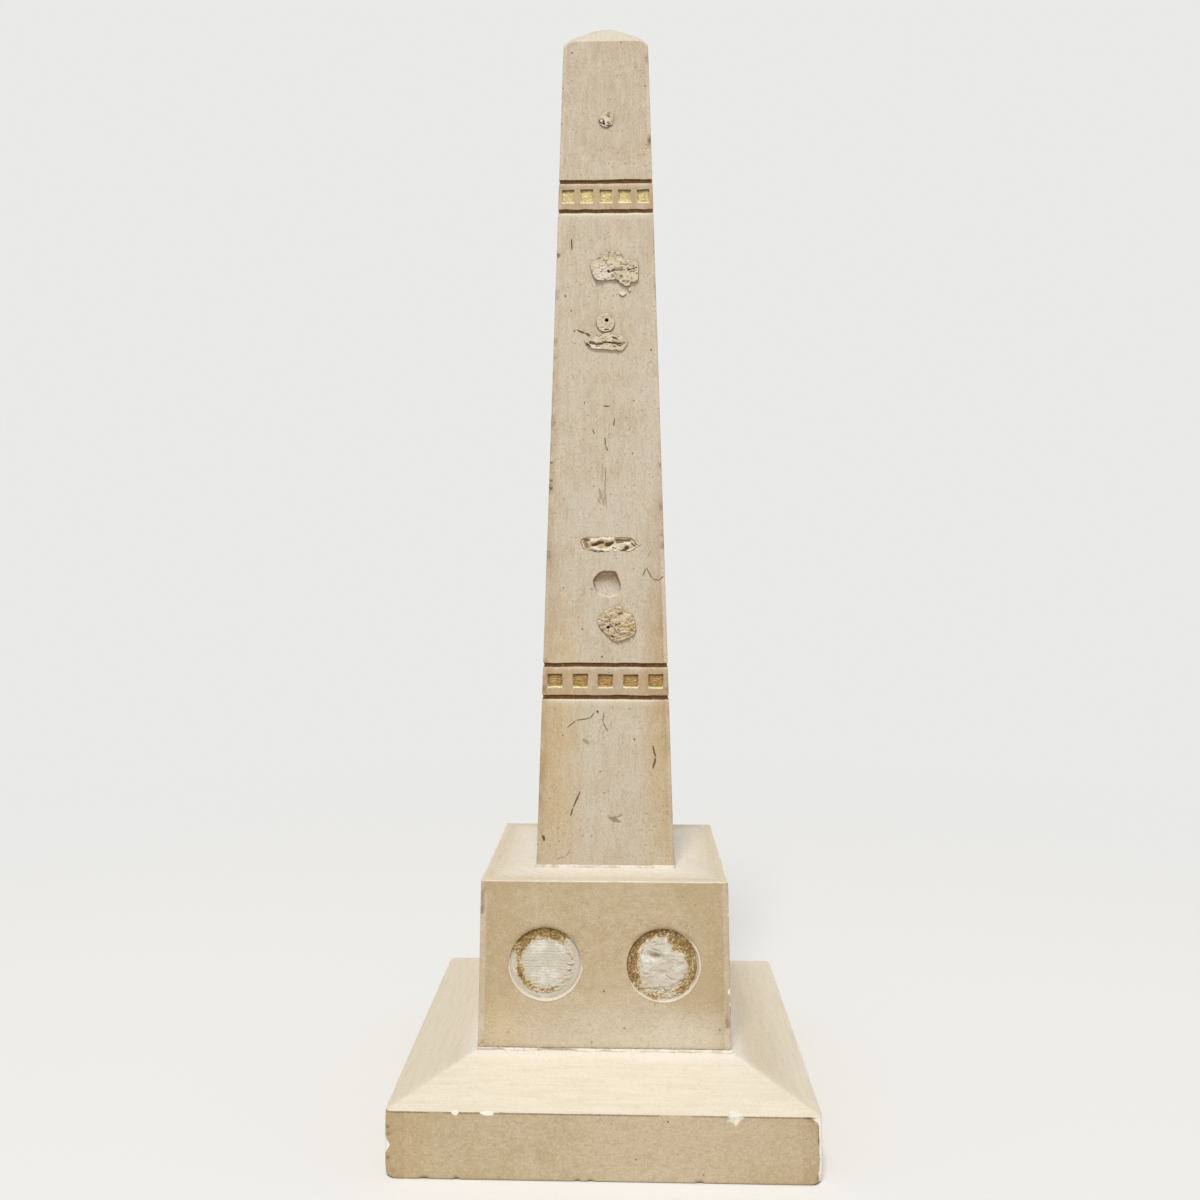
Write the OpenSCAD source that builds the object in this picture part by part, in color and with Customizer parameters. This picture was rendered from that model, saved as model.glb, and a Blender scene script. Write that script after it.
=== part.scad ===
// Table obelisk in cream stone: a hipped plinth, a pedestal block and a tapering shaft with a
// low worn pyramidion, each stone bedded on a thin skin of white plaster. Two bands of sunk
// gilt squares run round the shaft between brown lines. Plaster and glue are left on the front
// where small applied ornaments and two medallions are lost.

/* [Plinth] */
// Width of the square plinth
plinth_w = 140; // [120:1:170]
// Height of the plinth's upright edge
plinth_edge_h = 22; // [16:0.5:32]
// Rise of the hipped slope from the edge to the pedestal's bed
plinth_rise = 8.5; // [4:0.5:16]
// Radius of the plinth's worn upright corners
plinth_corner_r = 3; // [1:0.5:6]
// Radius of the plinth's worn lower edge
plinth_foot_r = 1.2; // [0.4:0.2:3]
// Radius of the plinth's worn upper arris
plinth_arris_r = 0.8; // [0.2:0.1:2]

/* [Pedestal] */
// Width of the pedestal at its foot
pedestal_foot_w = 87; // [80:1:100]
// Width of the pedestal at its top
pedestal_top_w = 85; // [78:1:98]
// Height of the pedestal
pedestal_h = 57; // [48:1:75]
// Radius of the pedestal's upper arris
pedestal_arris_r = 0.6; // [0.2:0.1:1.5]
// Diameter of each round sinking for a medallion
roundel_d = 25; // [20:0.5:30]
// Distance between the centres of the two sinkings
roundel_spacing = 40.4; // [34:0.2:48]
// Height of the sinkings' centres above the pedestal's foot
roundel_level = 28.7; // [22:0.1:32]
// Depth of the sinkings
roundel_depth = 2; // [1.6:0.1:4]

/* [Shaft] */
// Width of the shaft at its foot
shaft_foot_w = 49.5; // [45:0.5:60]
// Width of the shaft under the pyramidion
shaft_top_w = 31; // [28:0.5:38]
// Height of the shaft up to the pyramidion
shaft_h = 299; // [285:1:340]
// Slope of the pyramidion's faces in degrees
cap_pitch = 42; // [30:1:55]
// Radius of the pyramidion's worn apex
apex_r = 6; // [1:0.5:9]
// Radius of the arris under the pyramidion
shoulder_r = 0.8; // [0.2:0.1:2]
// Radius of the four worn corners under the pyramidion
cap_corner_r = 4; // [1:0.5:7]
// How far the shaft's upright arrises are worn back
arris_wear = 0.35; // [0.1:0.05:0.8]

/* [Plaster beds] */
// Thickness of the plaster under a stone
bed_t = 0.8; // [0.4:0.1:2]
// How far the plaster squeezes out past a stone's foot
bed_lip = 1.2; // [0.6:0.1:2.5]

/* [Bands] */
// Distance of the upper band's middle below the shaft's top
upper_band_drop = 56.8; // [48:0.1:66]
// Distance between the two lines of the upper band
upper_band_h = 10.9; // [9:0.1:13]
// Height of the lower band's middle above the shaft's foot
lower_band_level = 65.8; // [52:0.1:72]
// Distance between the two lines of the lower band
lower_band_h = 11.6; // [9:0.1:13]
// Height of the groove cut for a line
groove_h = 1.4; // [0.8:0.1:2]
// Depth of the groove cut for a line
groove_depth = 0.9; // [0.5:0.1:1.5]
// Thickness of the brown pigment left in a groove
line_t = 0.3; // [0.1:0.05:0.4]
// Number of gilt squares on each face of a band
squares_per_face = 5; // [3:1:5]
// Width of a square sinking in the upper band
upper_square_w = 4.7; // [3.5:0.1:5.5]
// Width of a square sinking in the lower band
lower_square_w = 5.4; // [4:0.1:6.5]
// Height of a square sinking
square_h = 5.2; // [4:0.1:6]
// Depth of a square sinking
square_depth = 0.9; // [0.6:0.1:1.4]
// How far each wall of a square sinking slopes in
square_splay = 0.6; // [0.3:0.1:0.9]
// Thickness of the gold leaf and its ground
leaf_t = 0.25; // [0.1:0.05:0.4]

/* [Lost ornaments] */
// Thickness of the residue left under an ornament
residue_t = 0.7; // [0.4:0.1:1.2]
// Distance of the top spot below the shaft's top
spot_drop = 28.7; // [24:0.1:34]
// Distance of the flower-shaped residue below the shaft's top
flower_drop = 83.4; // [80:0.1:86]
// Distance of the disc residue below the shaft's top
disc_drop = 103.2; // [100:0.1:103.4]
// Diameter of the disc residue
disc_d = 7; // [5:0.1:7.4]
// Distance of the bird-shaped residue below the shaft's top
bird_drop = 110.4; // [110.2:0.1:116]
// Height of the feather-shaped socket above the shaft's foot
feather_level = 114.8; // [112:0.1:120]
// Depth of the feather-shaped socket
feather_depth = 1.5; // [1.2:0.1:3]
// Height of the dished socket above the shaft's foot
dish_level = 100.7; // [99:0.1:103]
// Distance of the dished socket right of the face's middle
dish_across = 0.6; // [-4:0.1:4]
// Diameter of the dished socket
dish_d = 9.6; // [7:0.1:11]
// Depth of the dished socket
dish_depth = 2.2; // [1:0.1:3]
// Height of the round residue above the shaft's foot
round_level = 86.3; // [82:0.1:87]
// Distance of the round residue right of the face's middle
round_across = 4.2; // [2:0.1:6]
// Diameter of the round residue
round_d = 12.4; // [9:0.1:13]
// Diameter of a peg hole
peg_d = 1.2; // [0.8:0.1:2]
// Depth of a peg hole
peg_depth = 8; // [4:0.5:14]

/* [Roundels] */
// Mean width of the glue round the left plaster
left_glue_w = 1.4; // [0.8:0.1:2.5]
// Mean width of the glue round the right plaster
right_glue_w = 2.2; // [1:0.1:3.5]
// Thickness of the glue in a sinking
glue_t = 0.8; // [0.4:0.1:1.2]
// Thickness of the plaster in a sinking
plaster_t = 1.2; // [0.6:0.1:1.5]
// Clearance between plaster, glue and the wall of a sinking
roundel_gap = 0.1; // [0.05:0.05:0.3]

/* [Hidden] */
$fn = 48;
arc_steps = 6;

// Colours of the stone, the plaster, the glue, the gold leaf and the brown lines
stone = "#d9cbae";
plaster = "#ebe4d4";
glue = "#a67c3d";
gold = "#c9a44c";
brown = "#5f3d1c";

// Levels at which the stones and their beds start
pedestal_bed_z = plinth_edge_h + plinth_rise;
pedestal_z = pedestal_bed_z + bed_t;
shaft_bed_z = pedestal_z + pedestal_h;
shaft_z = shaft_bed_z + bed_t;

// Flat on the plinth's top that takes the pedestal's bed
seat_margin = 0.3;
seat_w = pedestal_foot_w + 2 * bed_lip + 2 * seat_margin;

// Lean of the pedestal's and the shaft's faces from upright
pedestal_lean = atan((pedestal_foot_w - pedestal_top_w) / 2 / pedestal_h);
shaft_lean = atan((shaft_foot_w - shaft_top_w) / 2 / shaft_h);

// Height of the pyramidion before its apex wore down
cap_rise = shaft_top_w / 2 * tan(cap_pitch);

// Sides of the shaft, each a quarter turn from the one before
sides = ["front", "right", "back", "left"];

// Levels above the shaft's foot of what hangs down from its top
upper_band_level = shaft_h - upper_band_drop;
spot_level = shaft_h - spot_drop;
flower_level = shaft_h - flower_drop;
disc_level = shaft_h - disc_drop;
bird_level = shaft_h - bird_drop;

// Levels of the four lines
upper_top_line = upper_band_level + upper_band_h / 2;
upper_bottom_line = upper_band_level - upper_band_h / 2;
lower_top_line = lower_band_level + lower_band_h / 2;
lower_bottom_line = lower_band_level - lower_band_h / 2;

// A cut runs this far out of the surface that it opens
proud = 1;
// The gold is worn off this far below the stone's face
leaf_wear = 0.1;
// The pigment stops this short of a groove's two walls
line_gap = 0.05;

// Peg holes, across the face and up from the shaft's foot
spot_peg = [-0.6, spot_level - 1.4];
flower_peg = [1, flower_level - 1.1];
disc_peg = [0.4, disc_level + 0.9];
round_peg = [round_across - 3.2, round_level - 1.1];

// Residues as round lobes: across, up from the residue's level, radius
spot_lobes = [[0.6, 0.6, 2.3], [-0.8, 0.1, 1.9], [0.3, -1.1, 1.8]];
flower_lobes = [[0.5, 0.7, 5.2], [8.4, -1, 3.8], [4, 3.6, 2.3], [8, -4.4, 2.2]];
flower_crumbs = [[5.6, -9.6, 1.2], [8.8, -8.1, 0.8]];
bird_lobes = [[-5.2, -0.4, 2], [-2, 0.2, 2.6], [1.4, 0.2, 3], [5, -0.5, 2.7]];
feather_lobes = [[-3.8, 0, 1.6], [0.2, -0.1, 1.8], [4.2, 0, 1.6]];
feather_crumb = [8.6, 0.1, 1];

// Outline of the feather-shaped socket, about its level
feather_outline = [[-8, 2.5], [9, 2.5], [12.6, -0.2], [9, -2.3], [-3, -2.6], [-8, -1.1]];

// Fresh chips on the plinth's upper front arris: across, radius
plinth_chips = [[-46, 1.4], [-37, 1.8], [42.5, 2.6]];

// The hollow that a lost lump left in the right roundel's plaster: across, up, radius
plaster_hollow = [-4.5, 3.5, 2.6];

// Arc of radius r that rounds the corner b between the points a and c
function corner_arc(a, b, c, r) =
    let (
        u = (a - b) / norm(a - b),
        v = (c - b) / norm(c - b),
        half_angle = acos(u * v) / 2,
        centre = b + (u + v) / norm(u + v) * r / sin(half_angle),
        from = b + u * r / tan(half_angle) - centre,
        to = b + v * r / tan(half_angle) - centre,
        start = atan2(from[1], from[0]),
        sweep = (atan2(to[1], to[0]) - start + 540) % 360 - 180
    )
    [for (i = [0:arc_steps])
        let (angle = start + sweep * i / arc_steps)
        centre + r * [cos(angle), sin(angle)]];

// Closed outline through corners given as [x, y, radius]
function rounded_outline(corners) =
    let (count = len(corners), points = [for (corner = corners) [corner[0], corner[1]]])
    [for (i = [0:count - 1])
        each corners[i][2] == 0
            ? [points[i]]
            : corner_arc(points[(i + count - 1) % count], points[i],
                         points[(i + 1) % count], corners[i][2])];

// Corners on the right side and the same ones mirrored to the left
function both_sides(corners) =
    concat(corners, [for (i = [len(corners) - 1:-1:0])
        [-corners[i][0], corners[i][1], corners[i][2]]]);

// Half width of the shaft at a level above its foot
function shaft_half(level) = (shaft_foot_w + (shaft_top_w - shaft_foot_w) * level / shaft_h) / 2;

// Half width of the pedestal at a level above its foot
function pedestal_half(level) =
    (pedestal_foot_w + (pedestal_top_w - pedestal_foot_w) * level / pedestal_h) / 2;

// Distance of the shaft's worn arris from the axis at a level
function worn_arris(level) = sqrt(2) * shaft_half(level) - arris_wear;

// Solid that shows one outline from the front and another from the side
module crossed(front_outline, side_outline, reach) {
    intersection() {
        rotate([90, 0, 0])
            linear_extrude(reach, center = true)
                polygon(front_outline);
        rotate([90, 0, 90])
            linear_extrude(reach, center = true)
                polygon(side_outline);
    }
}

// Solid with the same outline from all four sides
module four_sided(corners, reach) {
    outline = rounded_outline(corners);
    crossed(outline, outline, reach);
}

// Upright square block with round corners
module round_cornered_block(w, r, h) {
    linear_extrude(h)
        union() {
            square([w, w - 2 * r], center = true);
            square([w - 2 * r, w], center = true);
            for (x = [-1, 1], y = [-1, 1])
                translate([x, y] * (w / 2 - r))
                    circle(r);
        }
}

// Places children on a face of the shaft: x across, y up the face, z out of it
module on_shaft(level, side = "front") {
    translate([0, 0, shaft_z])
        rotate(90 * search([side], sides)[0])
            translate([0, -shaft_half(level), level])
                rotate([90 - shaft_lean, 0, 0])
                    children();
}

// Places children on the pedestal's front in the same way
module on_pedestal(level) {
    translate([0, -pedestal_half(level), pedestal_z + level])
        rotate([90 - pedestal_lean, 0, 0])
            children();
}

// Plaster that squeezes out a little under a stone of width w
module bed(w) {
    foot = w / 2 + bed_lip;
    top = w / 2 + bed_lip / 2;
    four_sided(both_sides([[foot, 0, 0], [top, bed_t, 0]]), 2 * foot + 2 * proud);
}

// The shaft's four faces moved in by inset, with no pyramidion
module shaft_core(inset) {
    corners = both_sides([
        [shaft_foot_w / 2 - inset, 0, 0],
        [shaft_top_w / 2 - inset, shaft_h, 0]
    ]);
    translate([0, 0, shaft_z])
        four_sided(corners, shaft_foot_w + 2 * proud);
}

// Level slice of height h through the shaft
module shaft_slice(level, h) {
    w = shaft_foot_w + 2 * proud;
    translate([0, 0, shaft_z + level])
        cube([w, w, h], center = true);
}

// Groove cut round all four faces at a level
module groove(level) {
    difference() {
        shaft_slice(level, groove_h);
        shaft_core(groove_depth);
    }
}

// Pigment on the floor of a groove
module groove_line(level) {
    color(brown)
        intersection() {
            shaft_slice(level, groove_h - 2 * line_gap);
            difference() {
                shaft_core(groove_depth - line_t);
                shaft_core(groove_depth);
            }
        }
}

// Sinking w wide with sloping walls, from rim above its mouth down to its floor
module sinking(w, rim) {
    run = square_splay / square_depth;
    function outline(width) = [
        [width / 2 - square_splay, -square_depth],
        [width / 2 + run * rim, rim],
        [-width / 2 - run * rim, rim],
        [-width / 2 + square_splay, -square_depth]
    ];
    crossed(outline(w), outline(square_h), 2 * (w + square_h));
}

// Places children at each square of a band on one face
module along_band(level, side) {
    pitch = 2 * shaft_half(level) / squares_per_face;
    on_shaft(level, side)
        for (i = [0:squares_per_face - 1])
            translate([(i - (squares_per_face - 1) / 2) * pitch, 0, 0])
                children();
}

// Gold leaf lining the squares of a band on one face
module gilding(level, side, w) {
    color(gold)
        along_band(level, side)
            difference() {
                sinking(w, -leaf_wear);
                translate([0, 0, leaf_t])
                    sinking(w, proud);
            }
}

// Flat shape made of round lobes
module lobes(list) {
    union()
        for (lobe = list)
            translate([lobe[0], lobe[1]])
                circle(lobe[2]);
}

// Hole for a peg, from in front of the face inwards
module peg_hole(place) {
    on_shaft(place[1])
        translate([place[0], 0, -peg_depth])
            cylinder(d = peg_d, h = peg_depth + residue_t + proud);
}

// Sinking for a medallion, side -1 left or 1 right
module at_roundel(side) {
    on_pedestal(roundel_level)
        translate([side * roundel_spacing / 2, 0, -roundel_depth])
            children();
}

// Plaster disc of a roundel, moved towards its lower right
module roundel_pad(glue_w, shift, gap) {
    direction = [1, -1] / norm([1, -1]);
    translate(shift * direction)
        circle(roundel_d / 2 - glue_w + gap);
}

// Glue round a roundel's plaster
module roundel_glue(side, glue_w, shift) {
    color(glue)
        at_roundel(side)
            linear_extrude(glue_t)
                difference() {
                    circle(roundel_d / 2 - roundel_gap);
                    roundel_pad(glue_w, shift, roundel_gap);
                }
}

module plinth() {
    corners = both_sides([
        [plinth_w / 2, 0, plinth_foot_r],
        [plinth_w / 2, plinth_edge_h, plinth_arris_r],
        [seat_w / 2, pedestal_bed_z, 0]
    ]);
    color(stone)
        difference() {
            intersection() {
                four_sided(corners, plinth_w + 2 * proud);
                round_cornered_block(plinth_w, plinth_corner_r, pedestal_bed_z);
            }
            for (chip = plinth_chips)
                translate([chip[0], -plinth_w / 2, plinth_edge_h])
                    sphere(chip[1]);
        }
}

module pedestal_bed() {
    color(plaster)
        translate([0, 0, pedestal_bed_z])
            bed(pedestal_foot_w);
}

module pedestal() {
    corners = both_sides([
        [pedestal_foot_w / 2, 0, 0],
        [pedestal_top_w / 2, pedestal_h, pedestal_arris_r]
    ]);
    color(stone)
        difference() {
            translate([0, 0, pedestal_z])
                four_sided(corners, pedestal_foot_w + 2 * proud);
            for (side = [-1, 1])
                at_roundel(side)
                    cylinder(d = roundel_d, h = roundel_depth + proud);
        }
}

module shaft_bed() {
    color(plaster)
        translate([0, 0, shaft_bed_z])
            bed(shaft_foot_w);
}

// Turned shape that trims the shaft's arrises and its top corners
module worn_envelope() {
    outline = rounded_outline([
        [0, -proud, 0],
        [worn_arris(-proud), -proud, 0],
        [worn_arris(shaft_h), shaft_h, cap_corner_r],
        [0, shaft_h + cap_rise, 0]
    ]);
    rotate_extrude()
        polygon(outline);
}

module shaft() {
    corners = [
        [shaft_foot_w / 2, 0, 0],
        [shaft_top_w / 2, shaft_h, shoulder_r],
        [0, shaft_h + cap_rise, apex_r],
        [-shaft_top_w / 2, shaft_h, shoulder_r],
        [-shaft_foot_w / 2, 0, 0]
    ];
    dish_r = (pow(dish_d / 2, 2) + pow(dish_depth, 2)) / (2 * dish_depth);
    color(stone)
        difference() {
            translate([0, 0, shaft_z])
                intersection() {
                    four_sided(corners, shaft_foot_w + 2 * proud);
                    worn_envelope();
                }
            for (level = [upper_top_line, upper_bottom_line, lower_top_line, lower_bottom_line])
                groove(level);
            for (side = sides) {
                along_band(upper_band_level, side)
                    sinking(upper_square_w, proud);
                along_band(lower_band_level, side)
                    sinking(lower_square_w, proud);
            }
            on_shaft(feather_level)
                translate([0, 0, -feather_depth])
                    linear_extrude(feather_depth + proud)
                        polygon(feather_outline);
            on_shaft(dish_level)
                translate([dish_across, 0, dish_r - dish_depth])
                    sphere(dish_r);
            for (place = [spot_peg, flower_peg, disc_peg, round_peg])
                peg_hole(place);
        }
}

module upper_band_top_line() { groove_line(upper_top_line); }
module upper_band_bottom_line() { groove_line(upper_bottom_line); }
module lower_band_top_line() { groove_line(lower_top_line); }
module lower_band_bottom_line() { groove_line(lower_bottom_line); }

module front_upper_gilding() { gilding(upper_band_level, "front", upper_square_w); }
module right_upper_gilding() { gilding(upper_band_level, "right", upper_square_w); }
module back_upper_gilding() { gilding(upper_band_level, "back", upper_square_w); }
module left_upper_gilding() { gilding(upper_band_level, "left", upper_square_w); }
module front_lower_gilding() { gilding(lower_band_level, "front", lower_square_w); }
module right_lower_gilding() { gilding(lower_band_level, "right", lower_square_w); }
module back_lower_gilding() { gilding(lower_band_level, "back", lower_square_w); }
module left_lower_gilding() { gilding(lower_band_level, "left", lower_square_w); }

module left_roundel_plaster() {
    color(plaster)
        at_roundel(-1)
            linear_extrude(plaster_t)
                roundel_pad(left_glue_w, left_glue_w - roundel_gap, 0);
}

module left_roundel_glue() { roundel_glue(-1, left_glue_w, left_glue_w - roundel_gap); }

module right_roundel_plaster() {
    color(plaster)
        at_roundel(1)
            difference() {
                linear_extrude(plaster_t)
                    roundel_pad(right_glue_w, right_glue_w / 2, 0);
                translate([plaster_hollow[0], plaster_hollow[1], plaster_t + plaster_hollow[2] / 2])
                    sphere(plaster_hollow[2]);
            }
}

module right_roundel_glue() { roundel_glue(1, right_glue_w, right_glue_w / 2); }

module spot_residue() {
    color(plaster)
        difference() {
            on_shaft(spot_level)
                linear_extrude(residue_t)
                    lobes(spot_lobes);
            peg_hole(spot_peg);
        }
}

module flower_residue() {
    color(plaster)
        difference() {
            on_shaft(flower_level)
                linear_extrude(residue_t) {
                    lobes(flower_lobes);
                    lobes(flower_crumbs);
                }
            peg_hole(flower_peg);
        }
}

module disc_residue() {
    color(plaster)
        difference() {
            on_shaft(disc_level)
                cylinder(d = disc_d, h = residue_t);
            peg_hole(disc_peg);
        }
}

module bird_residue() {
    color(plaster)
        on_shaft(bird_level)
            linear_extrude(residue_t)
                lobes(bird_lobes);
}

module feather_residue() {
    color(plaster)
        on_shaft(feather_level)
            translate([0, 0, -feather_depth])
                linear_extrude(residue_t) {
                    lobes(feather_lobes);
                    lobes([feather_crumb]);
                }
}

module round_residue() {
    color(plaster)
        difference() {
            on_shaft(round_level)
                translate([round_across, 0, 0])
                    cylinder(d = round_d, h = residue_t);
            peg_hole(round_peg);
        }
}

plinth();
pedestal_bed();
pedestal();
shaft_bed();
shaft();
upper_band_top_line();
upper_band_bottom_line();
lower_band_top_line();
lower_band_bottom_line();
front_upper_gilding();
right_upper_gilding();
back_upper_gilding();
left_upper_gilding();
front_lower_gilding();
right_lower_gilding();
back_lower_gilding();
left_lower_gilding();
left_roundel_plaster();
left_roundel_glue();
right_roundel_plaster();
right_roundel_glue();
spot_residue();
flower_residue();
disc_residue();
bird_residue();
feather_residue();
round_residue();
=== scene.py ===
"""Looks of a small table obelisk: worn cream stone, plaster, gilt bands and the residues of lost ornaments.

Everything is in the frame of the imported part: the front faces -Y, the right side +X. Shapes are worked out in
millimetres and put into the scene in metres.
"""

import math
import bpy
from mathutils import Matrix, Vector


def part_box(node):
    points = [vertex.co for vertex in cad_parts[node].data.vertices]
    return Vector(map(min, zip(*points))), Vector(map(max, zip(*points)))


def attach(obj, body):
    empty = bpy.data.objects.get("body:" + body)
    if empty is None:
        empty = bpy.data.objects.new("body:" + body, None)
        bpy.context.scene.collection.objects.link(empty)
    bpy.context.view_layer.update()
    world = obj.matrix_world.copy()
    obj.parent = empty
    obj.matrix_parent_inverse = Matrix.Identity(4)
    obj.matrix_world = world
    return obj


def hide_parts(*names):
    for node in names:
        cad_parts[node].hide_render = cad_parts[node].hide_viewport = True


bl_info = {
    "name": "Table obelisk",
    "version": (1, 0, 0),
    "blender": (4, 5, 0),
    "location": "3D View > Sidebar > Obelisk",
    "description": "Builds the worn stones, plaster, gilding and residues of a table obelisk over its solids",
    "category": "Add Mesh",
}

import bpy
import numpy as np
from bpy.props import FloatProperty, FloatVectorProperty, PointerProperty

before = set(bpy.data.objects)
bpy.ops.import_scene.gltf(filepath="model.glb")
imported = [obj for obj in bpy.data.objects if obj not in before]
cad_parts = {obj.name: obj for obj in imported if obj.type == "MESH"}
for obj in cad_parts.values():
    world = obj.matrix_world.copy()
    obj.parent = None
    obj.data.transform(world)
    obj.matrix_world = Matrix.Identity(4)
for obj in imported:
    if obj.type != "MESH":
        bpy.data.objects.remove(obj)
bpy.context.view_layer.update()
MM = 0.001
# Corners of each node's solids, in millimetres
BOX = {name: np.array([list(corner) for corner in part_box(name)]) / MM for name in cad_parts}
BODY = "root"

# Outward direction of the front, right, back and left side, and the direction in which its columns run
OUT = np.array([[0, -1], [1, 0], [0, 1], [-1, 0]], float)
ALONG = np.roll(OUT, -1, axis=0)
SIDE_NAMES = ("front", "right", "back", "left")
FRONT, LEFT = 0, 3
NOISE_CELLS = 32
# Middles of the five squares of a row, as shares of the face's half width
SQUARE_STEPS = (-0.8, -0.4, 0.0, 0.4, 0.8)
# Angles of the columns round an arris
ARRIS_ANGLES = np.radians([14, 27, 36, 42, 48, 54, 63, 76])
PLINTH_ANGLES = np.radians([
    8, 16, 23, 29, 33, 36, 38.5, 40.5, 42, 43.3, 44.4, 45.6, 46.7, 48, 49.5, 51.5, 54, 57, 61, 67, 74, 82,
])
# Radii of the arcs that the columns round an arris follow
SHAFT_ARC, PEDESTAL_ARC, BED_ARC = 1.6, 2.4, 1.4
# Radii of the balls that round off the corners of the shaft's shoulder and the plinth's foot
SHOULDER_BALL, FOOT_BALL = 4.4, 4.2
# Columns past this step across a face lie at its arris, where hand-cut edges do not stray
FACE_END = 0.985
# Depth of the peg holes in the stone
PEG_DEPTH = 4
# Layer of the noise that the mason's hand follows
HAND_LAYER = 1000.0
# How far the lines of the scratches wander
SCRATCH_WANDER = 0.8
# Edges that turn by more degrees than this look sharp
SHARP_ANGLE = 38
# Roughness of the old glue
GLUE_GLOSS = 0.55

# Levels of the stones
PLINTH_TOP = BOX["plinth"][1][2]
PEDESTAL_FOOT, PEDESTAL_TOP = BOX["pedestal"][:, 2]
SHAFT_FOOT, SHAFT_APEX = BOX["shaft"][:, 2]
PLINTH_HALF = BOX["plinth"][1][0]
PEDESTAL_HALF = BOX["pedestal"][1][0]
SHAFT_HALF = BOX["shaft"][1][0]
SEAT_HALF = BOX["pedestal_bed"][1][0]


def band_place(band):
    """Level and half height of a band's squares, and levels of its two grooves, above the shaft's foot."""
    squares = BOX[f"front_{band}_gilding"][:, 2] - SHAFT_FOOT
    top_line = BOX[f"{band}_band_top_line"][:, 2].mean() - SHAFT_FOOT
    bottom_line = BOX[f"{band}_band_bottom_line"][:, 2].mean() - SHAFT_FOOT
    return squares.mean(), np.ptp(squares) / 2, top_line, bottom_line


BANDS = {band: band_place(band) for band in ("upper", "lower")}

# Outlines on the shaft's front: across from its centre line and up from its foot
SPOT = [(-2.7, 270.8), (-0.2, 273.3), (2.8, 272.7), (2.5, 268.5), (0.2, 267.4), (-2.0, 268.5)]
FLOWER = [
    (-0.4, 221.7), (5.6, 221.5), (6.6, 218.6), (10.5, 218.8), (11.9, 217.6), (12.1, 212.9),
    (11.5, 210.5), (9.3, 210.3), (9.0, 209.1), (7.0, 208.9), (4.7, 210.5), (2.4, 211.1),
    (-2.9, 211.0), (-4.8, 213.2), (-5.7, 217.0), (-4.8, 218.1), (-2.6, 219.9),
]
LARGE_CRUMB = [(4.7, 206.4), (6.2, 207.3), (7.6, 206.2), (6.2, 205.2)]
SMALL_CRUMB = [(8.3, 207.7), (8.9, 208.4), (9.3, 207.4), (8.7, 206.8)]
BIRD = [
    (-7.6, 189.4), (-5.0, 190.1), (-1.1, 191.6), (1.9, 192.1), (3.8, 191.0), (5.6, 191.0), (7.5, 189.5),
    (8.0, 188.2), (6.9, 186.1), (5.4, 185.3), (-0.9, 185.8), (-5.5, 186.4), (-6.8, 187.3),
]
FEATHER = [
    (-7.9, 117.3), (3.4, 117.5), (9.1, 117.3), (11.3, 114.9), (12.6, 114.6), (11.1, 113.8),
    (8.9, 112.5), (6.5, 112.5), (-0.6, 112.4), (-3.0, 112.2), (-5.4, 112.9), (-8.0, 113.7),
]
DISH = [
    (-4.3, 101.2), (-3.8, 103.0), (-1.9, 104.9), (0.8, 105.4), (3.4, 105.1), (4.5, 103.2),
    (5.5, 99.5), (4.9, 97.4), (3.3, 96.4), (0.8, 96.0), (-1.3, 96.6), (-2.9, 97.6),
]
ROUND = [
    (-2.9, 87.1), (-2.1, 89.4), (0.8, 91.8), (4.3, 93.1), (6.2, 92.3), (7.4, 90.8), (9.9, 89.6),
    (10.7, 87.1), (11.1, 83.4), (8.7, 81.3), (4.5, 79.7), (2.0, 80.7), (1.2, 81.9), (-1.3, 83.8),
]
DISC_CENTRE = (0.0, 195.7)
# Peg holes: across, up and radius
PEGS = {
    "spot": (-0.6, 268.9, 0.6),
    "flower": (1.0, 214.5, 0.65),
    "disc": (0.4, 196.7, 0.9),
    "round": (1.0, 85.2, 0.7),
}

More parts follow.
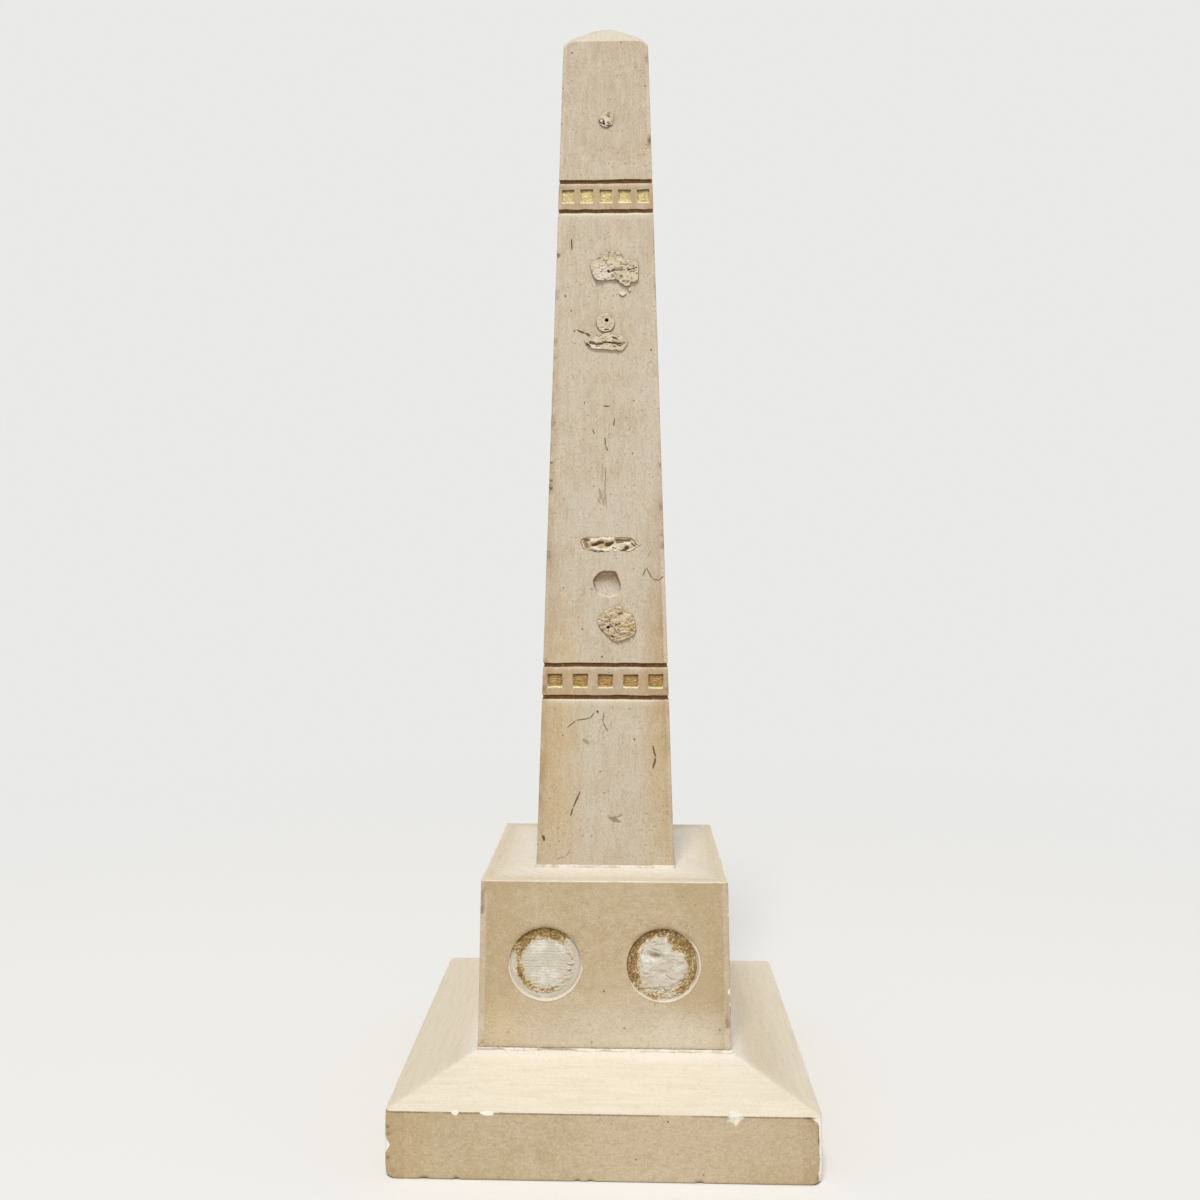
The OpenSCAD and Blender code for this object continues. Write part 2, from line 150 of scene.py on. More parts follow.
# Scratches, slits, cracks and scars of the shaft's front: points as above, width and strength
SCRATCHES = [
    ([(-12.5, 226.6), (-12.3, 222.4)], 0.45, 0.95),
    ([(-10.4, 193.1), (-7.4, 191.9), (-5.5, 190.9)], 0.62, 1.0),
    ([(-0.7, 165.3), (1.5, 165.1)], 0.42, 0.9),
    ([(3.3, 160.8), (2.9, 157.9)], 0.50, 0.7),
    ([(-4.7, 156.6), (-3.8, 155.2)], 0.45, 0.7),
    ([(-0.1, 153.9), (0.0, 150.8), (0.9, 149.0)], 0.45, 0.7),
    ([(-0.9, 144.6), (-1.2, 137.0)], 0.35, 0.4),
    ([(0.0, 143.0), (-0.1, 134.0)], 0.4, 0.55),
    ([(-2.3, 135.5), (-1.6, 131.0)], 0.6, 0.55),
    ([(-0.3, 135.4), (0.2, 128.3)], 0.7, 0.5),
    ([(-1.3, 134.2), (-0.6, 128.8)], 0.6, 0.5),
    ([(-2.7, 131.8), (-1.9, 129.8)], 0.45, 0.55),
    ([(-17.5, 2.0), (-14.2, 2.8), (-12.4, 5.6)], 0.32, 0.5),
    ([(13.4, 103.7), (14.9, 106.6), (17.2, 102.4), (19.4, 102.1), (21.0, 103.7)], 0.40, 0.7),
    ([(16.4, 112.6), (15.8, 110.6)], 0.70, 0.4),
    ([(-13.6, 49.1), (-10.5, 51.6), (-5.3, 52.4), (-4.2, 54.2)], 0.40, 0.7),
    ([(-0.6, 54.4), (-0.8, 51.1), (0.8, 47.6)], 0.42, 0.65),
    ([(17.1, 42.5), (18.2, 38.7), (17.1, 34.4)], 0.65, 0.85),
    ([(-8.9, 26.4), (-11.6, 20.3), (-12.5, 17.3)], 0.48, 0.85),
    ([(-2.9, 54.8), (-2.6, 54.8)], 0.90, 1.0),
    ([(-8.1, 44.6), (-6.0, 43.2)], 1.3, 0.55),
    ([(1.2, 17.0), (5.4, 15.3)], 1.3, 0.62),
    ([(1.3, 16.3), (5.0, 17.3), (6.0, 18.0)], 0.8, 0.55),
    ([(-22.4, 10.4), (-21.9, 8.6)], 0.85, 0.9),
]

# Nicks in the shaft's front arrises: -1 for left or 1 for right, height above the foot and half length
ARRIS_NICKS = [(-1, 144.7, 0.45), (-1, 138.2, 0.5), (-1, 135.3, 0.45), (1, 262.6, 0.9), (-1, 220.5, 0.7)]

# Cuts in the residues: points as above, and width
FLOWER_CUTS = [([(1.0, 214.5), (1.7, 214.2), (2.9, 215.0)], 0.34), ([(8.2, 214.9), (11.3, 215.6)], 0.3)]
SPOT_CUTS = [
    ([(-0.9, 270.2), (-0.6, 268.9)], 0.4),
    ([(0.5, 268.1), (2.1, 268.0)], 0.4),
    ([(-2.2, 269.6), (-1.4, 269.0)], 0.4),
]
DISC_CUTS = [([(-0.2, 193.1), (1.2, 193.2)], 0.22), ([(1.3, 198.3), (2.0, 197.7)], 0.22)]
BIRD_CUTS = [
    ([(-5.4, 188.4), (-3.4, 188.0), (-1.2, 188.1)], 0.62),
    ([(-0.7, 188.5), (2.4, 188.3), (5.4, 188.0)], 0.4),
    ([(4.4, 187.5), (5.2, 187.2)], 0.4),
    ([(-2.2, 189.6), (0.6, 190.2)], 0.22),
    ([(2.4, 190.4), (3.8, 189.8)], 0.25),
    ([(-6.6, 187.9), (-5.6, 186.9)], 0.4),
]

# Creases of the right roundel's plaster, from its centre
ROUNDEL_FOLDS = [
    [(-7.2, 6.6), (-4.6, 6.7), (-2.8, 7.5)],
    [(-7.0, 5.5), (-4.4, 5.7), (-1.4, 4.4)],
    [(-6.9, 4.6), (-6.2, 2.6), (-5.8, 1.4)],
    [(1.0, -3.8), (2.4, -4.8), (4.0, -5.3)],
    [(3.0, -0.6), (4.0, -1.4), (5.4, -1.5)],
    [(-6.6, -3.6), (-3.6, -3.0)],
]

# Chips of the plinth's front top arris: place across, half length and depth
PLINTH_CHIPS = [(-47.4, 1.2, 0.65), (-36.7, 2.5, 0.6), (42.2, 2.2, 1.35)]
# Nicks of the plinth's foot: place across and half length
PLINTH_NICKS = [(-57.3, 1.5), (-46.8, 1.0), (-8.0, 0.8), (31.0, 1.2)]

# Camera and light, in metres and degrees
CAMERA_PLACE = (8.25 * MM, -435.56 * MM, 200.12 * MM)
CAMERA_TURN = 1.789
CAMERA_SENSOR = 36
CAMERA_LENS = 34.38
CAMERA_SHIFT = (0.0063, -0.0370)
KEY_PLACE, KEY_AIM = (-0.36, -4.5, 7.1), (0, 0, 0.2)
KEY_SIZE = 2.4
KEY_POWER = 567.0
KEY_TINT = (1.0, 0.985, 0.955)
WORLD_TINT = (1.0, 0.985, 0.96)
WORLD_STRENGTH = 0.4
FLOOR_COLUMNS = 96


def length(name, description, millimetres):
    """A length property of the sizes."""
    return FloatProperty(name=name, description=description, default=millimetres * MM, unit="LENGTH")


class ObeliskSizes(bpy.types.PropertyGroup):
    """Sizes that the solids' boxes do not give."""

    plinth_edge: length("Plinth edge", "Height of the plinth's upright edge", 22)
    plinth_corner: length("Plinth corner", "Radius of the plinth's upright corners", 1.4)
    pedestal_top_half: length("Pedestal top", "Half the pedestal's width at its top", 42.5)
    shaft_height: length("Shaft height", "Height of the shaft's sloping faces", 299.6)
    shaft_top_half: length("Shaft top", "Half the shaft's width at its shoulder", 15.5)
    arris_wear: length("Arris wear", "Radius worn on the shaft's arrises", 0.4)
    groove_height: length("Groove height", "Height of the grooves of the bands", 1.4)
    groove_depth: length("Groove depth", "Depth of the grooves of the bands", 0.9)
    square_depth: length("Square depth", "Depth of the square sinkings", 0.9)
    square_splay: length("Square splay", "How far the sinkings' walls slope in", 0.6)
    upper_square_half: length("Upper square", "Half width of the upper squares", 2.35)
    lower_square_half: length("Lower square", "Half width of the lower squares", 2.7)
    leaf_thickness: length("Leaf thickness", "Thickness of gold leaf and its ground", 0.2)
    hand_wobble: length("Hand wobble", "How far hand-cut edges stray", 0.26)
    roundel_radius: length("Roundel radius", "Radius of the pedestal's sinkings", 12.5)
    roundel_depth: length("Roundel depth", "Depth of the pedestal's sinkings", 2)
    feather_depth: length("Feather depth", "Depth of the feather socket", 1.5)
    dish_depth: length("Dish depth", "Depth of the dished socket", 2.2)


class Millimetres:
    """The sizes of the scene in millimetres."""

    def __init__(self, sizes):
        for name in ObeliskSizes.__annotations__:
            setattr(self, name, getattr(sizes, name) / MM)


def colour(name, description, value):
    """A colour property of the finishes."""
    return FloatVectorProperty(
        name=name, description=description, default=value, size=3, min=0, max=1, subtype="COLOR"
    )


class ObeliskColours(bpy.types.PropertyGroup):
    """Colours of the finishes, as linear values."""

    shaft_cream: colour("Shaft cream", "Pale tone of the shaft", (0.575, 0.5, 0.395))
    shaft_ochre: colour("Shaft ochre", "Warm tone of the shaft", (0.52, 0.42, 0.3))
    # Also lays painted shadow in the roundels.
    grey_grain_and_shade: colour("Shaft grey", "Grey grain of the stone", (0.37, 0.305, 0.22))
    block_cream: colour("Block cream", "Pale tone of pedestal and plinth", (0.55, 0.44, 0.29))
    block_ochre: colour("Block ochre", "Warm tone of pedestal and plinth", (0.485, 0.37, 0.215))
    # Also lays painted highlights.
    ledge_cream: colour("Ledge cream", "Tone of the upward faces", (0.765, 0.695, 0.57))
    # Also lays a painted highlight along the pedestal's top arris.
    fresh_stone_and_highlight: colour("Fresh stone", "Stone inside new chips", (0.84, 0.81, 0.745))
    # Also lays painted shade in the dish and above the roundels.
    stain_and_shade: colour("Stain", "Orange brown stain along arrises", (0.4, 0.262, 0.128))
    glaze: colour("Glaze", "Yellowed coating on the lower edges", (0.56, 0.405, 0.185))
    soot: colour("Soot", "Dirt in pits, scratches and hollows", (0.13, 0.085, 0.045))
    # Also lays painted shade in the dish, above the roundels and under the plinth's top arris.
    scratch_and_shade: colour("Scratch", "Brown dirt in scratches and scars", (0.15, 0.095, 0.045))
    plaster: colour("Plaster", "Bedding plaster", (0.79, 0.75, 0.67))
    roundel_plaster: colour("Roundel plaster", "Plaster in the roundels", (0.61, 0.565, 0.475))
    residue_cream: colour("Residue cream", "Plaster left on the shaft", (0.64, 0.55, 0.40))
    residue_gold: colour("Residue gold", "Stained plaster left on the shaft", (0.50, 0.37, 0.19))
    glue: colour("Glue", "Old glue", (0.255, 0.145, 0.038))
    glue_gold: colour("Glue gold", "Rubbed old glue", (0.42, 0.27, 0.085))
    upper_gold: colour("Upper gold", "Leaf of the upper band", (0.71, 0.615, 0.305))
    lower_gold: colour("Lower gold", "Leaf of the lower band", (0.47, 0.3, 0.105))
    bright_gold: colour("Bright gold", "Lit sills of the squares", (0.84, 0.75, 0.5))
    leaf_ground: colour("Leaf ground", "Ochre ground where the leaf is worn", (0.36, 0.22, 0.08))
    # Also lays painted shadow in the squares, along the residues' lower rims and in the roundels' glue.
    pigment_and_shade: colour("Pigment", "Brown pigment in the grooves", (0.115, 0.053, 0.016))
    rubbed_pigment: colour("Rubbed pigment", "Reddish tone of the rubbed pigment", (0.24, 0.115, 0.04))
    floor: colour("Floor", "Studio floor and background", (0.82, 0.82, 0.81))


def ease(low, high, value):
    """Smooth step: 0 below low, 1 above high, and 3t^2 - 2t^3 between."""
    t = np.clip((value - low) / (high - low), 0, 1)
    return t * t * (3 - 2 * t)


def fade(low, high, value):
    """Smooth step down: 1 below low, 0 above high."""
    return 1 - ease(low, high, value)


def clamp(value):
    """The value, held between 0 and 1."""
    return np.clip(value, 0, 1)


def bell(value, width, power=2):
    """Bump of height 1 at value 0: exp(-(value / width)^power)."""
    return np.exp(-((value / width) ** power))


def rounded(share):
    """Quarter circle: from 0 at share 0 up to 1 at share 1, sqrt(1 - (1 - share)^2)."""
    return np.sqrt(clamp(1 - (1 - clamp(share)) ** 2))


def turns(count):
    """Even directions round a circle."""
    return np.linspace(0, 2 * math.pi, count, endpoint=False)


def lattice(points, seed):
    """Smooth noise from -1 to 1: random values at whole-number places, eased between the eight nearest."""
    table = np.random.default_rng(seed).uniform(-1, 1, (NOISE_CELLS,) * 3)
    cell = np.floor(points).astype(int)
    part = points - cell
    part = part * part * (3 - 2 * part)
    total = 0
    for corner in np.ndindex(2, 2, 2):
        weight = np.prod(np.where(corner, part, 1 - part), axis=-1)
        i, j, k = np.moveaxis((cell + np.array(corner)) % NOISE_CELLS, -1, 0)
        total = total + weight * table[i, j, k]
    return total


def fractal(points, grain, seed, octaves=4):
    """Sum of noise layers, each half as large and half as strong as the one before, from -1 to 1."""
    scaled = points / np.array(grain)
    layers = [lattice(scaled * 2**n, seed + n) / 2**n for n in range(octaves)]
    return sum(layers) / (2 - 2.0 ** (1 - octaves))


def flat_points(across, up):
    """Points of a face as places for noise."""
    return np.stack([across, up, np.zeros_like(across)], -1)


def smooth_outline(points, steps=8):
    """Closed curve through points: the cubic from b to c has the slopes (c - a) / 2 and (d - b) / 2."""
    b = np.array(points, float)
    a, c, d = np.roll(b, 1, 0), np.roll(b, -1, 0), np.roll(b, -2, 0)
    t = (np.arange(steps) / steps)[None, :, None]
    a, b, c, d = (p[:, None] for p in (a, b, c, d))
    curve = b + t * (c - a) / 2 + t**2 * (a - 2.5 * b + 2 * c - d / 2) + t**3 * (1.5 * (b - c) + (d - a) / 2)
    return curve.reshape(-1, 2)


def segment_distance(across, up, start, end):
    """Distance of every place from the segment between two points."""
    run = np.array(end) - np.array(start)
    t = ((across - start[0]) * run[0] + (up - start[1]) * run[1]) / max(run @ run, 1e-6)
    t = clamp(t)
    return np.hypot(across - start[0] - t * run[0], up - start[1] - t * run[1])


def line_distance(across, up, points):
    """Distance of every place from an open line of points."""
    line = np.array(points)
    return np.min([segment_distance(across, up, a, b) for a, b in zip(line[:-1], line[1:])], axis=0)


def outline_depth(across, up, outline):
    """Distance from a closed outline, above 0 inside: the nearest edge, signed by the crossings of a ray."""
    after = np.roll(outline, -1, axis=0)
    near = np.full(across.shape, np.inf)
    inside = np.zeros(across.shape, bool)
    for (x0, y0), (x1, y1) in zip(outline, after):
        near = np.minimum(near, segment_distance(across, up, (x0, y0), (x1, y1)))
        crosses = (y0 > up) != (y1 > up)
        rise = y1 - y0 if y1 != y0 else 1e-9
        inside ^= crosses & (across < x0 + (up - y0) * (x1 - x0) / rise)
    return np.where(inside, near, -near)


class Shell:
    """Points, four-sided and three-sided faces, and named values at the points of one closed surface."""

    def __init__(self, points, quads, triangles, values):
        self.points, self.quads, self.triangles, self.values = points, quads, triangles, values


def ring_shell(grid, values=None, capped=True):
    """Closed surface through a grid of rings: rows run inside to outside, columns counter-clockwise.

    A capped shell closes its end rings at poles, their means. The other kind joins the last to the first.
    """
    values = values or {}
    rows, columns = grid.shape[:2]
    here = np.arange(rows * columns).reshape(rows, columns)
    beside = np.roll(here, -1, axis=1)
    above, above_beside = np.roll(here, -1, axis=0), np.roll(beside, -1, axis=0)
    quads = np.stack([here, beside, above_beside, above], -1)
    points = grid.reshape(-1, 3)
    flat = {name: np.broadcast_to(v, (rows, columns)).ravel() for name, v in values.items()}
    if not capped:
        return Shell(points, quads.reshape(-1, 4), np.zeros((0, 3), int), flat)
    first, last = np.full(columns, len(points)), np.full(columns, len(points) + 1)
    fans = [np.stack([beside[0], here[0], first], -1), np.stack([here[-1], beside[-1], last], -1)]
    points = np.concatenate([points, [grid[0].mean(0), grid[-1].mean(0)]])
    flat = {
        name: np.concatenate([v, [v[:columns].mean(), v[-columns:].mean()]]) for name, v in flat.items()
    }
    return Shell(points, quads[:-1].reshape(-1, 4), np.concatenate(fans), flat)


def slab_shell(top, under, values=None):
    """Closed surface between two grids of one size: the top, the turned underside and a rim joining them."""
    rows, columns = top.shape[:2]
    here = np.arange(rows * columns).reshape(rows, columns)
    quads = np.stack([here[:-1, :-1], here[:-1, 1:], here[1:, 1:], here[1:, :-1]], -1).reshape(-1, 4)
    below = here.size
    edge = np.concatenate([here[0, :-1], here[:-1, -1], here[-1, :0:-1], here[:0:-1, 0]])
    ahead = np.roll(edge, -1)
    rim = np.stack([edge + below, ahead + below, ahead, edge], -1)
    points = np.concatenate([top.reshape(-1, 3), under.reshape(-1, 3)])
    flat = {name: np.tile(v.ravel(), 2) for name, v in (values or {}).items()}
    faces = np.concatenate([quads, quads[:, ::-1] + below, rim])
    return Shell(points, faces, np.zeros((0, 3), int), flat)


def join(shells):
    """Several shells as one."""
    starts = np.cumsum([0] + [len(s.points) for s in shells[:-1]])
    return Shell(
        np.concatenate([s.points for s in shells]),
        np.concatenate([s.quads + n for s, n in zip(shells, starts)]),
        np.concatenate([s.triangles + n for s, n in zip(shells, starts)]),
        {name: np.concatenate([s.values[name] for s in shells]) for name in shells[0].values},
    )


def place(name, shell, finish, nodes):
    """Puts a shell into the scene, in metres, as the piece that stands for CAD nodes."""
    sizes = np.concatenate([np.full(len(shell.quads), 4), np.full(len(shell.triangles), 3)])
    corners = np.concatenate([shell.quads.ravel(), shell.triangles.ravel()]).astype(np.int32)
    mesh = bpy.data.meshes.new(name)
    mesh.vertices.add(len(shell.points))
    mesh.vertices.foreach_set("co", (shell.points * MM).astype(np.float32).ravel())
    mesh.loops.add(len(corners))
    mesh.loops.foreach_set("vertex_index", corners)
    mesh.polygons.add(len(sizes))
    mesh.polygons.foreach_set("loop_start", (np.cumsum(sizes) - sizes).astype(np.int32))
    mesh.update(calc_edges=True)
    for value_name, value in shell.values.items():
        attribute = mesh.attributes.new(value_name, "FLOAT", "POINT")
        attribute.data.foreach_set("value", np.asarray(value, np.float32))
    mesh.polygons.foreach_set("use_smooth", np.ones(len(sizes), bool))
    mesh.set_sharp_from_angle(angle=math.radians(SHARP_ANGLE))
    mesh.validate()
    mesh.materials.append(finish)
    piece = bpy.data.objects.new(name, mesh)
    bpy.context.scene.collection.objects.link(piece)
    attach(piece, BODY)
    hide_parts(*nodes)


def side_columns(side_steps, angles):
    """Columns round a square plan from the front left arris: a side's steps, then the next arris's angles."""
    side = np.concatenate([np.full(len(s) + len(angles), k) for k, s in enumerate(side_steps)])
    step = np.concatenate([np.concatenate([s, np.ones(len(angles))]) for s in side_steps])
    angle = np.concatenate([np.concatenate([np.zeros(len(s)), angles]) for s in side_steps])
    return side, step, angle


def arris_reach(angle, arc, worn):
    """Distance from an arc's centre to the two faces it joins, or to a smaller worn arc in that corner."""
    inset = arc - worn
    low = np.arctan2(inset, arc)
    to_face = arc / np.maximum(np.cos(np.minimum(angle, math.pi / 2 - angle)), 1e-6)
    ahead = inset * (np.cos(angle) + np.sin(angle))
    to_arc = ahead + np.sqrt(np.maximum(ahead**2 - 2 * inset**2 + worn**2, 0))
    return np.where((angle <= low) | (angle >= math.pi / 2 - low), to_face, to_arc)


class SquareTower:
    """Rings of a four-sided stone.

    A point is N (a - R) + T s (a - R) + D (reach - sink): N is the side's outward direction, T its direction
    along, a the half width and R the arc radius of the row, s the column's step, D its angle's direction.
    """

    def __init__(self, half, height, arc, side, step, angle):
        self.half, self.height, self.arc = (np.asarray(v, float)[:, None] for v in (half, height, arc))
        self.side, self.angle = side, angle
        self.step = np.broadcast_to(step, (len(half), len(side)))
        self.core = self.half - self.arc
        self.across = self.step * self.core + self.arc * np.sin(angle)
        self.straight = angle == 0
        shape = self.across.shape
        self.up = np.broadcast_to(self.height, shape)
        self.sink, self.slide, self.lift = np.zeros(shape), np.zeros(shape), np.zeros(shape)

    def on(self, side):
        """True for the straight columns of one side."""
        return (self.side == side) & self.straight

    def rough_points(self):
        """Points of the tower before wear, for noise."""
        return self.points(np.full(self.across.shape, 0.01))

    def points(self, worn):
        """Grid of points with the arrises worn to the given radii."""
        reach = arris_reach(self.angle, self.arc, np.minimum(worn, self.arc * 0.98)) - self.sink
        out, along = OUT[self.side], ALONG[self.side]
        turn = np.cos(self.angle)[:, None] * out + np.sin(self.angle)[:, None] * along
        run = self.core * self.step + self.slide
        x = self.core * out[:, 0] + run * along[:, 0] + reach * turn[:, 0]
        y = self.core * out[:, 1] + run * along[:, 1] + reach * turn[:, 1]
        return np.stack([x, y, self.up + self.lift], -1)


def corner_drop(grid, half, ball):
    """How far a ball of radius R rounds a corner off, at a distance d from it: R - sqrt(R^2 - (R - d)^2)."""
    away = np.minimum(np.linalg.norm(half - np.abs(grid[..., :2]), axis=-1), ball)
    return ball - np.sqrt(ball**2 - (ball - away) ** 2)


def merged(*levels, apart=0.1):
    """Sorted levels without neighbours that lie closer than a given distance."""
    every = np.sort(np.concatenate(levels))
    return every[np.concatenate([[True], np.diff(every) > apart])]


def arc_profile(centre, radius, start, end, count):
    """Points of an arc as half widths and heights."""
    turn = np.radians(np.linspace(start, end, count))
    return np.stack([centre[0] + radius * np.cos(turn), centre[1] + radius * np.sin(turn)], -1)


def straight_profile(start, end, count):
    """Points between two places, the ends left out."""
    t = np.linspace(0, 1, count + 2)[1:-1, None]
    return np.array(start) * (1 - t) + np.array(end) * t


def lean_of(sizes):
    """How far the shaft's faces draw in for each step up."""
    return (SHAFT_HALF - sizes.shaft_top_half) / sizes.shaft_height


def shaft_face(sizes, side, across, up, proud):
    """Places on one face of the shaft: across, up from its foot, and proud of the face along its normal."""
    lean = lean_of(sizes)
    level = 1 / math.hypot(1, lean)
    out = SHAFT_HALF - lean * up + proud * level
    x = OUT[side][0] * out + ALONG[side][0] * across
    y = OUT[side][1] * out + ALONG[side][1] * across
    return np.stack([x, y, SHAFT_FOOT + up + proud * lean * level], -1)


def hand_stray(sizes, side, across, up):
    """How far the mason's hand strayed along and up a face near the bands, by noise with a small grain."""
    near = sum(bell(up - level, 9, 4) for level, *rest in BANDS.values())
    points = flat_points(across, up) + np.array([0, 0, HAND_LAYER])
    slide = fractal(points, 3.2, 11 + 10 * side, 2) * near
    lift = fractal(points, 3.6, 15 + 10 * side, 2) * near
    return slide * sizes.hand_wobble, lift * sizes.hand_wobble


def square_centres(sizes, up):
    """Centre lines of the five squares of a row at a level: fifths of the face's width."""
    half = SHAFT_HALF - lean_of(sizes) * up
    return [half * step for step in SQUARE_STEPS]


def sinking_depth(sizes, across, up, half_across, half_up):
    """Depth of a splayed square sinking: it grows from its edge over the splay, then its floor is flat."""
    from_edge = np.minimum(half_across - np.abs(across), half_up - np.abs(up))
    return sizes.square_depth * clamp(from_edge / sizes.square_splay)


def square_half(sizes, band):
    """Half width of the squares of a band."""
    return sizes.upper_square_half if band == "upper" else sizes.lower_square_half


def face_steps(sizes, band, floor_steps, wall_steps, gap_steps, end_steps):
    """Steps across a face that fall on the edges of the five squares of one band."""
    half = SHAFT_HALF - lean_of(sizes) * BANDS[band][0]
    mouth = square_half(sizes, band) / half
    floor = mouth - sizes.square_splay / half
    edges, counts = [-1.0], []
    for n, centre in enumerate(SQUARE_STEPS):
        counts += [gap_steps if n else end_steps, wall_steps, floor_steps, wall_steps]
        edges += [centre - mouth, centre - floor, centre + floor, centre + mouth]
    edges.append(1.0)
    counts.append(end_steps)
    spans = [np.linspace(a, b, n, endpoint=False) for a, b, n in zip(edges[:-1], edges[1:], counts)]
    return np.concatenate(spans + [[1.0]])


def dish_depth(sizes, inside, up):
    """Depth of the dished socket: a hollow that falls steeply from its outline, less at its foot."""
    reach = 4.6
    tilt = 0.9 + 0.22 * np.clip((up - 100.8) / reach, -1, 1)
    return sizes.dish_depth * rounded(inside / reach) * tilt


def shaft_rows(sizes):
    """Levels of the shaft's rings: even steps, with more at bands, sockets, peg holes and nicks."""
    groove = np.array([-1.7, -1.15, -0.8, -0.68, -0.35, 0, 0.35, 0.68, 0.8, 1.15, 1.7])
    levels = [np.linspace(0, sizes.shaft_height, 150)]
    for level, half_up, top, bottom in BANDS.values():
        floor = half_up - sizes.square_splay
        across_floor = np.linspace(-floor, floor, 10)
        mouth = np.array([half_up + 0.3, half_up, (half_up + floor) / 2])
        levels += [level + across_floor, level + mouth, level - mouth, top + groove, bottom + groove]
    feather, dish = np.arange(111.6, 118.3, 0.3), np.arange(95.4, 106, 0.28)
    levels += [feather, dish]
    peg = np.array([-0.9, -0.7, -0.5, -0.25, 0, 0.25, 0.5, 0.7, 0.9])
    levels += [up + peg for across, up, radius in PEGS.values()]
    levels += [up + peg for arris, up, long in ARRIS_NICKS]
    return merged(*levels)


